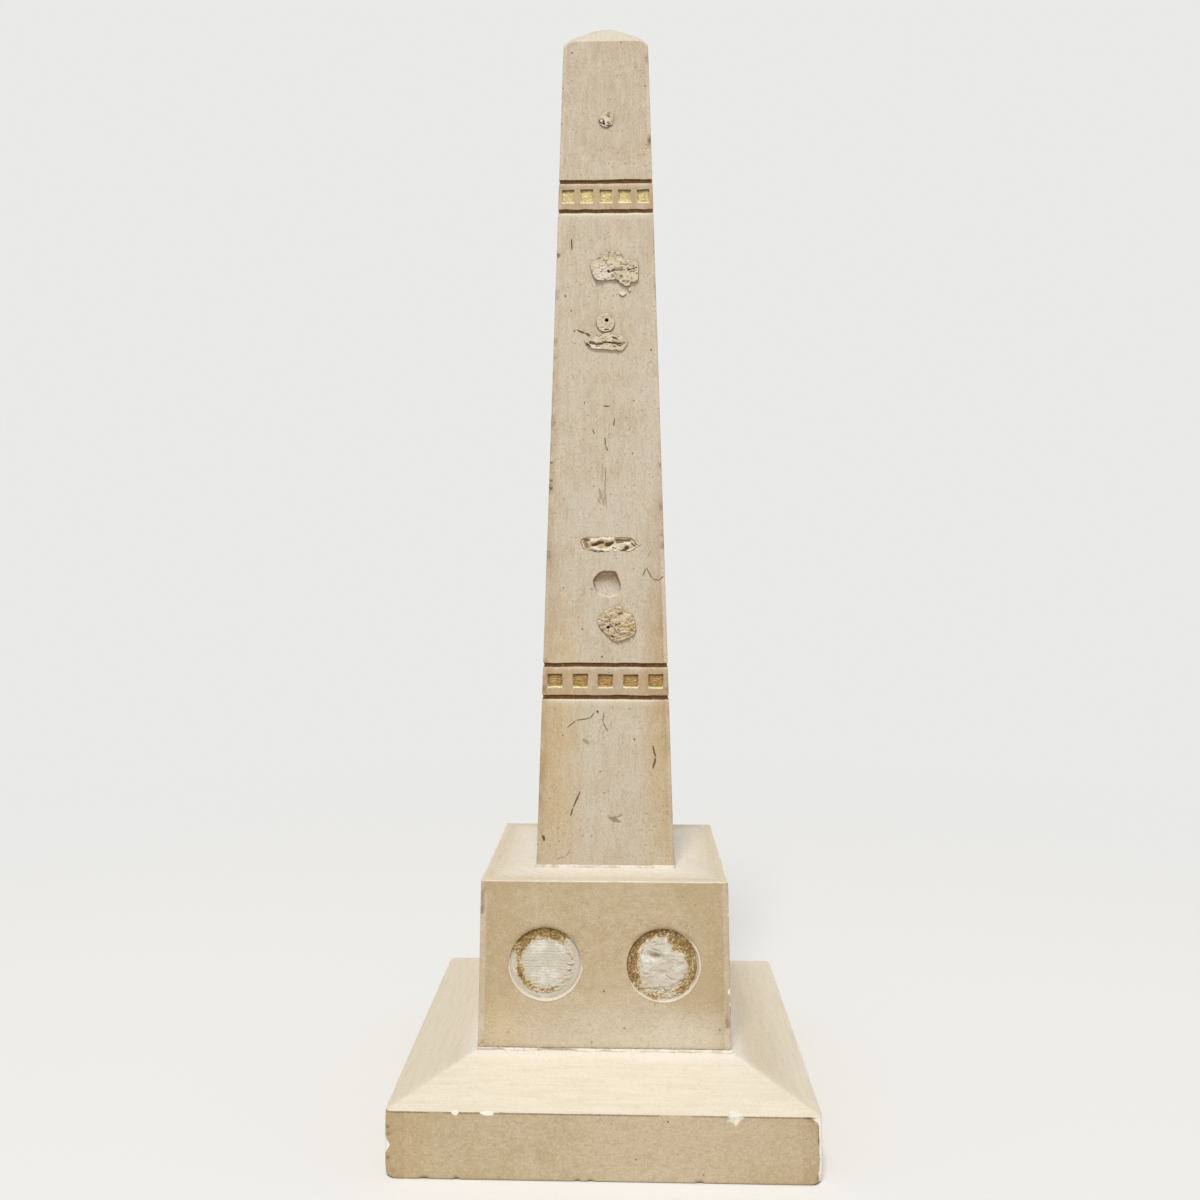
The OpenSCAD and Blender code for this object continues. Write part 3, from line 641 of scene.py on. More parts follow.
def shaft_shell(sizes):
    """The shaft: rings that draw in with height, a low rounded pyramid on top, and cuts in the faces."""
    up = shaft_rows(sizes)
    half = SHAFT_HALF - lean_of(sizes) * up
    top_half = sizes.shaft_top_half
    cap_rise = SHAFT_APEX - SHAFT_FOOT - sizes.shaft_height - 0.3
    cap_half = top_half * np.concatenate([[0.995], 1 - np.linspace(0, 1, 28)[1:] ** 0.8 * 0.985])
    blunt = 2.1
    slope = cap_rise / (math.hypot(top_half, blunt) - blunt)
    cap_up = sizes.shaft_height + cap_rise - slope * (np.hypot(cap_half, blunt) - blunt)
    rows_up, rows_half = np.concatenate([up, cap_up]), np.concatenate([half, cap_half])
    near_top = ease(sizes.shaft_height - 5, sizes.shaft_height, rows_up)
    arc = np.minimum(SHAFT_ARC, rows_half * 0.55)

    front = [face_steps(sizes, band, 10, 2, 9, 5) for band in ("lower", "upper")]
    plain = [face_steps(sizes, band, 2, 1, 2, 2) for band in ("lower", "upper")]
    side, low_step, angle = side_columns([front[0]] + [plain[0]] * 3, ARRIS_ANGLES)
    high_step = side_columns([front[1]] + [plain[1]] * 3, ARRIS_ANGLES)[1]
    low, high = BANDS["lower"][0], BANDS["upper"][0]
    blend = clamp((rows_up - low) / (high - low))[:, None]
    tower = SquareTower(rows_half, rows_up, arc, side, low_step * (1 - blend) + high_step * blend, angle)
    across, rise = tower.across, tower.up
    rough = tower.rough_points()

    groove = np.zeros_like(across)
    sunk = np.zeros_like(across)
    for band, (level, half_up, top, bottom) in BANDS.items():
        for line in (top, bottom):
            from_edge = sizes.groove_height / 2 - np.abs(rise - line)
            groove = np.maximum(groove, ease(-0.06, 0.06, from_edge))
        for centre in square_centres(sizes, level):
            cut = sinking_depth(sizes, across - centre, rise - level, square_half(sizes, band), half_up)
            sunk = np.maximum(sunk, cut * tower.straight)
    fronted = tower.on(FRONT)
    inside_feather = outline_depth(across, rise, smooth_outline(FEATHER, 4))
    feather = ease(-0.12, 0.3, inside_feather) * fronted
    inside_dish = outline_depth(across, rise, smooth_outline(DISH))
    dished = ease(-0.1, 0.25, inside_dish) * fronted
    pegs = np.zeros_like(across)
    for x, z, radius in PEGS.values():
        away = np.hypot(across - x, rise - z) / radius
        pegs = np.maximum(pegs, fade(0.9, 1.35, away))
    grain = fractal(rough, (7, 7, 22), 31, 4)
    capped = (rows_up > sizes.shaft_height)[:, None]
    tower.sink = groove * sizes.groove_depth + sunk + feather * sizes.feather_depth
    tower.sink += (dish_depth(sizes, inside_dish, rise) + pegs * PEG_DEPTH) * fronted + 0.05 * (1 + grain)
    for k in range(4):
        slide, lift = hand_stray(sizes, k, across, rise)
        tower.slide = np.where(tower.on(k), slide, tower.slide)
        tower.lift = np.where(tower.side == k, lift, tower.lift)
    ends = np.abs(tower.step) > FACE_END
    tower.slide = np.where(ends, 0, tower.slide)
    tower.lift = np.where(ends | ~tower.straight, 0, tower.lift)

    flaws = ease(0.28, 0.6, fractal(rough, 9, 47, 3))
    worn = sizes.arris_wear * (1 + 0.5 * fractal(rough, 5, 53, 3)) + flaws
    nick = np.zeros_like(across)
    for arris, level, long in ARRIS_NICKS:
        here = (tower.side == (LEFT if arris < 0 else FRONT)) & ~tower.straight
        beside = fronted & (tower.half - arris * across < 1.3)
        jag = long * (1 + 0.6 * fractal(rough, 1.3, 57, 2))
        nick = np.maximum(nick, (here | beside) * bell(rise - level, jag, 4))
    worn = np.maximum(worn, 1.5 * nick)
    on_cap = ease(0, 4, rows_up - sizes.shaft_height)
    worn_top = np.minimum(1.25 - 0.8 * on_cap, arc)[:, None]
    worn = worn * (1 - near_top[:, None]) + worn_top * near_top[:, None]
    grid = tower.points(worn) + np.array([0, 0, SHAFT_FOOT])
    drop = corner_drop(grid, np.maximum(rows_half, top_half)[:, None, None], SHOULDER_BALL)
    grid[..., 2] -= drop * ease(sizes.shaft_height - 7, sizes.shaft_height, rise)

    from_arris = tower.half - np.abs(across)
    near_arris = np.where(tower.straight, fade(0.1, 0.7, from_arris), 1.0)
    blotch = fractal(rough, (20, 20, 34), 61, 3)
    stain_band = fade(0.6, 3.6, from_arris) * ease(-0.6, 0.3, blotch)
    stain_band *= 0.3 + 0.7 * fade(110, 225, rise)
    right_half = ease(-1, 1, across) * fronted
    stain_band *= 1 - (0.25 + 0.4 * right_half) * ease(100, 122, rise)
    rubbed = bell(rise - 84, 26)
    stain_band *= 1 - 0.75 * rubbed * (1 - right_half)
    stain_band += 0.75 * rubbed * right_half * fade(1.5, 11, from_arris)
    low_edge = fade(2, 11, from_arris) * fade(70, 150, rise) * ease(-0.7, 0.5, blotch)
    stain_band *= 0.25 + 0.75 * ease(0, 45, rise)
    low_edge *= ease(-15, 45, rise) * (1 - 0.4 * rubbed * (1 - right_half))
    tone = fractal(rough, (14, 14, 40), 71, 3)
    glazed = fade(6 - 4 * right_half, 19 - 5 * right_half, from_arris)
    glazed = glazed * fade(66, 104, rise) * (0.55 + 0.45 * ease(0, 22, rise))
    bruise = near_arris * ease(0.22, 0.5, fractal(rough, (5, 5, 3), 67, 3))
    # Painted highlight: a pale line just below each groove, where its lower edge catches the light.
    lip, strip = np.zeros_like(across), np.zeros_like(across)
    for level, half_up, top, bottom in BANDS.values():
        strip = np.maximum(strip, ease(0, 1.2, np.minimum(top - rise, rise - bottom)))
        for line in (top, bottom):
            below = line - sizes.groove_height / 2 - rise
            lip = np.maximum(lip, ease(-0.1, 0.05, below) * fade(0.5, 1.3, below))
    # Painted shade: the upper half of the dish is darkened brown, as if shadowed by its upper edge.
    shade = ease(-2.2, 2.4, rise - 101.2) * dished
    # Painted shade: a warmer, darker tone towards the top, against the lamp's stronger light there.
    high = ease(200, 290, rise) * ~capped
    # Painted shadow: a dark line along the dish's upper edge.
    rim = bell(inside_dish - 0.1, 0.35) * ease(-2, 2, rise - 99) * fronted
    # Painted highlight: a pale line along the dish's lower edge.
    sill_highlight = bell(inside_dish - 0.2, 0.3) * ease(0, -2, rise - 98.6) * fronted
    # Darker sockets, grooves and peg holes, with the dish's painted rim shadow.
    cuts = 0.5 * feather + groove + pegs * fronted + 0.85 * rim
    values = {
        # Painted highlights: pale strips along the arrises, under the grooves and on the dish's lower edge.
        "pale": clamp(np.maximum(near_arris * 0.22, lip) + 0.8 * sill_highlight),
        "warm": clamp(0.32 + 0.32 * tone + 0.5 * (low_edge + strip) + 0.35 * high - 0.6 * capped),
        "stain_and_shade": clamp(stain_band + 0.5 * low_edge + nick + shade + 0.62 * strip),
        "yellow": 0.64 * glazed * (1 - groove),
        "fresh_and_highlight": np.zeros_like(across),
        "dust": clamp(0.5 * (dished - shade) + 0.4 * capped),
        "dirt_and_shade": clamp(cuts + 0.55 * bruise + 0.7 * nick + 0.28 * (dished - shade) + 0.36 * shade),
    }
    return ring_shell(grid, values)


def roundel_centre(name):
    """Place of a roundel's centre on the pedestal's front: across, and up from its foot."""
    box = BOX[name + "_roundel_glue"]
    return box[:, 0].mean(), box[:, 2].mean() - PEDESTAL_FOOT


def pedestal_columns(sizes, centre):
    """Places across the front that fall on rings round both roundels."""
    radius = sizes.roundel_radius
    rim = radius + np.array([-0.6, -0.12, 0, 0.2, 0.8, 1.7, 2.5])
    rings = np.concatenate([np.linspace(0, radius - 1.2, 9), rim])
    cell = np.concatenate([-rings[:0:-1], rings])
    return cell, np.concatenate([-centre + cell, np.linspace(-centre, centre, 31)[12:19], centre + cell])


def roundel_warp(across, up, radius):
    """Turns a cell's square rings to circles: (p, q) goes to m (p, q) / |(p, q)|, m = max(|p|, |q|)."""
    m = np.maximum(np.abs(across), np.abs(up))
    long = np.maximum(np.hypot(across, up), 1e-6)
    weight = fade(radius + 0.25, radius + 2.5, m)
    return across * (m / long - 1) * weight, up * (m / long - 1) * weight


def pedestal_shell(sizes):
    """The pedestal: rings with a slight batter, a flat top and two round sinkings in the front."""
    height = PEDESTAL_TOP - PEDESTAL_FOOT
    centre, level = roundel_centre("right")
    cell, places = pedestal_columns(sizes, centre)
    edge = 0.5
    ends = [0.0, 0.15, height - 0.3, height - 0.15]
    rows = merged(level + cell, np.linspace(edge, height - edge, 44), ends, apart=0.09)
    rows = rows[(rows <= level + cell[0]) | (rows >= level + cell[-1]) | np.isin(rows, level + cell)]
    batter = (PEDESTAL_HALF - sizes.pedestal_top_half) / height
    half = PEDESTAL_HALF - batter * rows
    half[0] -= edge
    half[1] -= 0.2
    ledge_half = np.array([0.35, 0.7, 3.0, 8.0, 14.0, 18.0, 24.0])
    half = np.concatenate([half, sizes.pedestal_top_half - ledge_half])
    up = np.concatenate([rows, np.full(len(ledge_half), height)])
    up[len(rows)] -= 0.05
    arc = np.full(len(half), PEDESTAL_ARC)
    core_low, core_high = PEDESTAL_HALF - PEDESTAL_ARC, sizes.pedestal_top_half - PEDESTAL_ARC
    fill = np.linspace(-1, 1, 31)
    outer = np.linspace(places[-1], core_low, 10)[1:-1]
    places = np.concatenate([-outer[::-1], places, outer])
    low = np.concatenate([[-1], places / core_low, [1]])
    high = np.concatenate([[-1], np.clip(places / core_high, -0.999, 0.999), [1]])
    side, low_step, angle = side_columns([low, fill, fill, fill], ARRIS_ANGLES)
    high_step = side_columns([high, fill, fill, fill], ARRIS_ANGLES)[1]
    blend = clamp(up / height)[:, None]
    tower = SquareTower(half, up, arc, side, low_step * (1 - blend) + high_step * blend, angle)
    rough = tower.rough_points()
    upright = (np.arange(len(half)) < len(rows))[:, None]
    fronted = tower.on(FRONT) & upright
    for middle in (-centre, centre):
        beside, over = tower.across - middle, tower.up - level
        near = fronted & (np.maximum(np.abs(beside), np.abs(over)) < cell[-1])
        slide, lift = roundel_warp(beside, over, sizes.roundel_radius)
        tower.slide = np.where(near, slide, tower.slide)
        tower.lift = np.where(near, lift, tower.lift)
        away = np.hypot(beside + tower.slide, over + tower.lift)
        hollow = fade(sizes.roundel_radius - 0.1, sizes.roundel_radius - 0.02, away)
        tower.sink = np.where(near, hollow * sizes.roundel_depth, tower.sink)
    recess = tower.sink / sizes.roundel_depth
    tower.sink = tower.sink + 0.06 * (1 + fractal(rough, 16, 83, 4)) * upright
    flaws = ease(0.25, 0.55, fractal(rough, 7, 89, 3))
    worn = 0.55 + 0.3 * fractal(rough, 6, 97, 3) + 1.2 * flaws
    grid = tower.points(worn) + np.array([0, 0, PEDESTAL_FOOT])
    from_arris = np.where(tower.straight, tower.half - np.abs(tower.across), 0)
    near_arris = fade(0.2, 1.4, from_arris) * upright
    near_top = ease(height - 0.4, height - 0.15, tower.up) * upright
    broad = fractal(rough, (30, 30, 18), 101, 3)
    # Paler towards the foot, more so on the right: partly plaster dust, partly painted light thrown up from the
    # plinth.
    foot_dust_and_bounce_light = fade(4, 20, tower.up + 5 * broad)
    bruise = np.maximum(near_arris, near_top) * ease(0.2, 0.5, fractal(rough, 3.5, 107, 3)) * upright
    # Painted shadow: a dark line on the face just above each roundel's upper edge.
    roundel_top_shadow = np.zeros_like(broad)
    for middle in (-centre, centre):
        over = grid[..., 2] - PEDESTAL_FOOT - level
        away = np.hypot(grid[..., 0] - middle, over)
        above = ease(0.35, 0.85, over / np.maximum(away, 1e-3)) * fronted
        roundel_top_shadow += above * bell(away - sizes.roundel_radius - 0.3, 0.45)
    from_shaft = np.abs(grid[..., :2]).max(-1) - SHAFT_HALF + 2.5 * broad
    rightward = 0.8 + 0.75 * ease(-40, 30, grid[..., 0])
    left_foot = fade(6, 22, tower.up) * fade(-34, -20, grid[..., 0]) * fronted
    edges = fade(4, 22, from_arris)
    from_front = tower.half[len(rows)] - np.abs(grid[..., :2]).max(-1)
    top_pale = 0.84 - 0.2 * ease(0.1, 0.8, from_front) * fade(3, 9, from_front)
    # Painted highlights: pale strips along the arrises and the top arris.
    face_pale = np.maximum(0.35 * near_arris, near_top) + 0.3 * foot_dust_and_bounce_light * rightward
    stain_and_shade = fade(1.5, 8, from_arris) * 0.55 * (0.6 + broad)
    stain_and_shade = stain_and_shade + 0.35 * ease(height - 7, height - 0.5, tower.up) * ease(-0.4, 0.5, broad)
    # Painted highlight: a bright broken line along the top arris, laid as fresh stone.
    line = np.where(upright, ease(height - 0.3, height - 0.1, tower.up), fade(0.1, 0.35, from_front))
    line = line * ease(-0.6, 0.1, fractal(rough, 6, 109, 3))
    values = {
        "pale": clamp(np.where(upright, face_pale, top_pale)),
        "warm": clamp(0.5 + 0.5 * broad + 0.5 * edges + 0.15 * left_foot),
        "stain_and_shade": clamp(stain_and_shade + 0.8 * roundel_top_shadow) * upright * (1 - near_top),
        "yellow": 0.85 * left_foot,
        "fresh_and_highlight": clamp(near_arris * ease(0.3, 0.55, fractal(rough, 4, 103, 2)) + 0.62 * line),
        "dust": np.where(upright, 0.15 * foot_dust_and_bounce_light * rightward, fade(2.5, 17, from_shaft)),
        "dirt_and_shade": clamp(0.12 * recess + 0.75 * bruise + 0.4 * roundel_top_shadow),
    }
    return ring_shell(grid, values)


def plinth_shell(sizes):
    """The plinth: an upright edge with a rounded foot, a chipped arris and a top sloping to the seat."""
    edge, half, foot = sizes.plinth_edge, PLINTH_HALF, 0.9
    slope = (PLINTH_TOP - edge) / (half - SEAT_HALF)
    arris = 0.35
    turn = 90 - math.degrees(math.atan(slope))
    reach = arris * math.tan(math.radians(turn) / 2)
    centre = (half - arris, edge - reach)
    bend = (half - 3.5, edge + 3.5 * slope)
    profile = np.concatenate([
        [[half * 0.5, 0], [half - 4, 0]],
        arc_profile((half - foot, foot), foot, -90, 0, 5),
        straight_profile((half, foot), (half, edge - 3), 30),
        straight_profile((half, edge - 3), (half, edge - reach), 13),
        arc_profile(centre, arris, 0, turn, 5),
        straight_profile((half - reach, edge), bend, 9),
        straight_profile(bend, (SEAT_HALF, PLINTH_TOP), 24),
        [[SEAT_HALF, PLINTH_TOP], [SEAT_HALF * 0.9, PLINTH_TOP], [SEAT_HALF * 0.5, PLINTH_TOP]],
    ])
    row_half, row_up = profile.T
    walked = np.concatenate([[0], np.cumsum(np.hypot(*np.diff(profile, axis=0).T))])
    past_arris = walked - np.interp(edge - reach / 2, row_up[:-3], walked[:-3])
    sloping = ease(-0.1, 0.1, past_arris)[:, None]
    worn_in = ease(0, 5, past_arris)
    arc = 6.8 - 4.8 * worn_in
    even, at_chips = np.linspace(-1, 1, 201), np.linspace(-0.78, -0.5, 51)
    front = merged(even, at_chips, np.linspace(0.58, 0.76, 37), apart=0.003)
    fill = np.linspace(-1, 1, 71)
    side, step, angle = side_columns([front, fill, fill, fill], PLINTH_ANGLES)
    tower = SquareTower(row_half, row_up, arc, side, step, angle)
    rough = tower.rough_points()
    rise, walk = tower.up, past_arris[:, None]

    chips = np.zeros_like(rise)
    for number, (at, long, deep) in enumerate(PLINTH_CHIPS):
        jag = 1 + 0.6 * fractal(rough, 1.2, 111 + number, 3)
        away = np.hypot((tower.across - at) / long, (walk + 0.15 * deep) / (1.35 * deep))
        chips = np.maximum(chips, deep * np.clip(1.15 - away * jag, 0, 0.5) * tower.on(FRONT))
    small = ease(0.3, 0.62, fractal(rough, (4, 4, 2.2), 121, 3))
    near_edge = bell(walk, 0.5)
    near_foot = bell(rise, 1.0)
    foot_nicks = np.max([bell(tower.across - at, long, 4) for at, long in PLINTH_NICKS], axis=0)
    foot_nicks = foot_nicks * bell(rise, 0.9) * tower.on(FRONT)
    nibble = small * (0.3 * near_edge + 0.5 * near_foot) + 0.55 * foot_nicks
    tower.sink = chips + nibble + 0.06 * (1 + fractal(rough, 20, 127, 4)) * (1 - sloping)
    tower.lift = -0.7 * chips - 0.05 * worn_in[:, None] * (1 + fractal(rough, 12, 131, 4))
    tower.lift = np.where((rise > PLINTH_TOP - 0.2) | (rise < foot), 0, tower.lift)

    low, high = fade(0.5, 5, rise), bell(walk, 3)
    worn = sizes.plinth_corner * (1 + 0.2 * fractal(rough, 8, 137, 3)) + 1.2 * low + high
    worn = worn * (1 - worn_in[:, None]) + 0.6 * worn_in[:, None]
    grid = tower.points(np.maximum(worn, 0.3))
    grid[..., 2] += 0.8 * corner_drop(grid, PLINTH_HALF, FOOT_BALL) * fade(0, 6, rise)

    patch = fractal(rough, 3.5, 139, 3)
    broken = fractal(rough, (7, 7, 2), 141, 3)
    from_right, from_left = PLINTH_HALF - grid[..., 0], PLINTH_HALF + grid[..., 0]
    fore = fade(3, 5, PLINTH_HALF + grid[..., 1])
    wide = from_right / (1.1 + 2.4 * fade(0, 2.8, edge - rise) + 0.5 * patch)
    white_right = fade(0.6, 1.4, wide) * fore * (1 - sloping)
    seam = bell(wide - 1.25, 0.25) * fore * (1 - sloping) * ease(-0.3, 0.1, broken)
    tall = clamp(1 - np.abs(rise - 11.0) / 3.0)
    chip_left = fade(0.6, 1.4, from_left / (0.05 + 1.8 * tall)) * fore * ease(0, 0.1, tall)
    spots = sum(
        bell(np.hypot(from_left - x, rise - z), 0.55) * fore
        for x, z in ((1.3, 14.6), (1.0, 16.8), (1.1, 6.9))
    )
    rust = bell(np.hypot(from_left - 2.6, rise - 2.4), 0.9) * fore
    # Painted shadow: a dark broken line just under the top arris.
    line = 0.9 * bell(walk + 0.35, 0.22) * ease(-0.35, 0.05, broken) * fade(0, 0.2, chips)
    broad = fractal(rough, (26, 26, 9), 149, 3)
    beside = np.where(tower.straight, tower.half - np.abs(tower.across), 0)
    from_seat = np.abs(grid[..., :2]).max(-1) - SEAT_HALF + 2 * broad
    inward = ease(1, 15, PLINTH_HALF - np.abs(grid[..., 0]))
    # Painted shade: the side slopes of the top are made less pale than the front slope.
    side_slope_shade = ease(-2, 6, np.abs(grid[..., 0]) - np.abs(grid[..., 1]))
    bleached = bell(grid[..., 0] - 20, 24) * fore * (1 - sloping)
    left_end = fade(4, 24, from_left) * fore * (1 - sloping)
    soft = bell(tower.across - PLINTH_CHIPS[-1][0], 4)
    values = {
        "pale": 0.1 * bleached + sloping * (1 - side_slope_shade * np.where(grid[..., 0] > 0, 0.3 * inward, 0.14)),
        "warm": clamp(0.5 + 0.55 * broad - 0.6 * bleached + 0.3 * left_end),
        "stain_and_shade": clamp(fade(1, 9, beside) * (0.3 + 0.5 * broad) + rust) * (1 - sloping),
        "yellow": 0.25 * left_end,
        "fresh_and_highlight": clamp(ease(0.03, 0.3, chips) * (1 - soft) + white_right + chip_left),
        "dust": np.maximum(0.9 * fade(0.5, 6, from_seat) * sloping, soft * ease(0.0, 0.25, chips)),
        "dirt_and_shade": clamp(line + 0.8 * (small * near_foot + seam) + foot_nicks + spots),
    }
    return ring_shell(grid, values)


def bed_shell(half, low, high, lip, seed):
    """A bed of plaster between two stones: a slab whose squeezed-out bead swells and shrinks."""
    out = np.array([-8, -0.4, 0.3, 0.55, 0.55, 0.35, 0.1, -0.3, -0.7, -9])
    lift = np.array([0, 0, -0.6, -0.5, 0.5, 0.85, 1.05, 1.0, 1.0, 1.0])
    bead = np.array([0, 0.3, 1, 1, 1, 1, 1, 0.4, 0, 0])[:, None]
    steps = np.linspace(-1, 1, 121)
    side, step, angle = side_columns([steps] * 4, ARRIS_ANGLES)
    arc = np.full(len(out), BED_ARC)
    tower = SquareTower(half + out * lip, low + lift * (high - low), arc, side, step, angle)
    rough = tower.rough_points()
    swell = fractal(rough, 4, seed, 3)
    gaps = ease(0.12, 0.4, fractal(rough, 9, seed + 3, 3))
    tower.sink = bead * lip * (0.75 * gaps - 0.35 * (swell - 0.1))
    crest = np.array([0, 0, 0, 0.2, 0.6, 1, 1, 0, 0, 0])[:, None]
    tower.lift = crest * 0.25 * (0.3 + fractal(rough, 3, seed + 7, 3))
    grid = tower.points(np.full(rough.shape[:2], 0.9))
    dirt_and_shade = ease(0.2, 0.5, fractal(rough, 2.5, seed + 11, 3)) * 0.6
    return ring_shell(grid, {"dirt_and_shade": np.maximum(dirt_and_shade, gaps * bead)})


def line_shell(sizes, line, seed):
    """Pigment in a groove: a hollow-faced strip carried round the shaft."""
    section = np.radians(np.linspace(0, 360, 14, endpoint=False))
    up = line - 0.96 * sizes.groove_height / 2 * np.cos(section)
    back = np.sin(section) < 0
    face = 0.42 + 0.2 * (1 - np.cos(section) ** 2)
    depth = np.where(back, 1.0, face) * sizes.groove_depth
    half = SHAFT_HALF - lean_of(sizes) * line
    steps = np.linspace(-1, 1, 91)
    side, step, angle = side_columns([steps] * 4, ARRIS_ANGLES)
    tower = SquareTower(np.full(len(up), half), up, np.full(len(up), SHAFT_ARC), side, step, angle)
    rough = tower.rough_points()
    lumps = fractal(rough, 2.2, seed, 3)
    tower.sink = depth[:, None] + 0.1 * lumps * ~back[:, None]
    for k in range(4):
        slide, lift = hand_stray(sizes, k, tower.across, np.full_like(tower.across, line))
        tower.lift = np.where(tower.on(k) & (np.abs(tower.step) <= FACE_END), lift, tower.lift)
    grid = tower.points(np.full(rough.shape[:2], sizes.arris_wear)) + np.array([0, 0, SHAFT_FOOT])
    return ring_shell(grid, {"worn": ease(0.1, 0.6, lumps)}, capped=False)


def leaf_shell(sizes, side, band, centre):
    """Leaf in one square sinking: a thin sheet on its splayed walls and floor, a little short of the face."""
    level, half_up = BANDS[band][:2]
    half_across = square_half(sizes, band)
    floor = 1 - sizes.square_splay / half_across
    wall = np.linspace(floor, 1, 5)
    steps = np.concatenate([-wall[::-1], np.linspace(-floor, floor, 23)[1:-1], wall])
    across, rise = np.meshgrid(steps * half_across, steps * half_up)
    depth = sinking_depth(sizes, across, rise, half_across, half_up)
    slide, lift = hand_stray(sizes, side, across + centre, rise + level)
    spots = flat_points(across + centre, rise + level)
    lumps = fractal(spots, 0.9, 211 + side, 3)
    ripple = np.sin(rise / 0.9 * 2 * math.pi + 5 * fractal(spots, 1.6, 221 + side, 2)) * (band == "lower")
    x, z = across + centre + slide, rise + level + lift
    body = sizes.leaf_thickness * (0.75 + 0.4 * lumps) + 0.09 * ripple
    face = -depth + np.maximum(body, 0.02) * np.clip(depth / 0.3, 0.1, 1)
    top = shaft_face(sizes, side, x, z, np.minimum(face, -0.05))
    under = shaft_face(sizes, side, x, z, -depth - 0.06)
    on_wall = ease(0, 0.3, 1 - clamp(depth / sizes.square_depth))
    # Painted highlight on the lower wall of each sinking, painted shadow on its upper wall.
    values = {
        "sill_highlight": ease(0.45, 0.8, -rise / half_up) * on_wall,
        "head": ease(0.5, 0.8, rise / half_up) * on_wall,
        "worn": ease(0.3, -0.4, lumps + 0.4 * ripple),
    }
    return slab_shell(top, under, values)


def gilding_shell(sizes, side, band):
    """Five leaves of one row."""
    return join([leaf_shell(sizes, side, band, c) for c in square_centres(sizes, BANDS[band][0])])


def outline_radius(outline, centre, turn):
    """Distance from a centre to an outline in every direction, if each ray crosses it once."""
    away = outline - centre
    angles = np.arctan2(away[:, 1], away[:, 0])
    return np.interp(turn, angles, np.hypot(away[:, 0], away[:, 1]), period=2 * math.pi)


def patch_shell(sizes, outline, spot, height, columns, rings, base=None, white=None):
    """A patch stuck on the shaft's front: rings from its outline to its centre, at a height above the face.

    The spot is the centre, across and up. A third number makes it a peg hole of that radius: the rings end in
    its mouth, and its wall goes down into the stone. A patch with a base stands in a socket of that level.
    A white place is given across, up and as a radius.
    """
    root = 0.12
    turn = turns(columns)
    ray = np.stack([np.cos(turn), np.sin(turn)], -1)
    centre, peg = np.array(spot[:2]), spot[2] if len(spot) > 2 else 0
    reach = outline_radius(outline, centre, turn)
    inner = 0.85 * peg if peg else 0.02
    span = inner + (reach - inner) * np.linspace(1, 0, rings)[:, None] ** 1.15
    across, up = (centre[k] + span * ray[:, k] for k in (0, 1))
    top = height(across, up, reach - span)
    rows = [(across[0], up[0], np.full(columns, -root if base is None else base)), *zip(across, up, top)]
    if peg:
        wall, mouth = (centre + peg * ray).T, (centre + 0.8 * peg * ray).T
        rows = [(*wall, np.full(columns, -3.4)), (*wall, np.full(columns, -root)), *rows]
        rows.append((*mouth, np.full(columns, -3.0)))
    x, z, proud = (np.array([row[k] for row in rows]) for k in range(3))
    grid = shaft_face(sizes, FRONT, x, z, proud)
    if base is None:
        away = np.hypot(x - centre[0], z - centre[1])
        # Painted shade: a dark band along the lower rim of a raised patch.
        lower_rim_shade = fade(0.1, 0.45, reach - away) * ease(-0.3, 0.5, -np.sin(turn))
        dirt_and_shade = np.maximum(fade(0.04, 0.3, proud), 0.8 * lower_rim_shade)
        high = ease(0, 0.8, proud)
    else:
        dirt_and_shade = ease(0.6, 1.25, -proud)
        high = ease(-0.8, -0.1, proud)
    bright = np.zeros_like(x)
    if white:
        bright = fade(0.5 * white[2], white[2], np.hypot(x - white[0], z - white[1]))
    return ring_shell(grid, {"dirt_and_shade": dirt_and_shade, "white": bright, "high": high})


def flaky(thickness, seed, grain=2.0, steps=4, cuts=(), pitted=0.45):
    """Height of flaking plaster: noise cut into shallow level steps, with small pits and a few long cuts."""

    def height(across, up, edge):
        points = flat_points(across, up) * np.array([0.75, 1.25, 1])
        body = 0.5 + 0.62 * fractal(points, grain, seed, 4)
        stepped = (np.floor(body * steps) + ease(0.6, 1.0, body * steps % 1)) / steps
        pits = ease(0.3, 0.5, fractal(points, 0.85, seed + 5, 2))
        total = np.clip(0.45 + 0.65 * stepped - pitted * pits, 0.02, 1.2)
        stray = 0.3 * fractal(points, 1.2, seed + 21, 2)
        for line, width in cuts:
            away = line_distance(across, up, line) + stray
            total = total * (0.03 + 0.97 * ease(0.5 * width, width, away))
        return thickness * rounded(edge / 0.3) * total + 0.02

    return height


def ropey(thickness, seed):
    """Height of wrinkled glue and plaster: ridges of noise that is bent by a second noise."""

    def height(across, up, edge):
        points = flat_points(across, up)
        bend = fractal(points, 5, seed, 2)[..., None] * np.array([2.5, 1.5, 0])
        ridge = 1 - np.abs(fractal((points + bend) * np.array([1, 1.8, 1]), 2.5, seed + 3, 3)) * 2.6
        pits = ease(0.28, 0.5, fractal(points, 1.2, seed + 9, 2))
        body = 0.24 + 0.85 * clamp(ridge) - 0.25 * pits
        return thickness * rounded(edge / 0.7) * np.clip(body, 0.03, 1.2) + 0.02

    return height


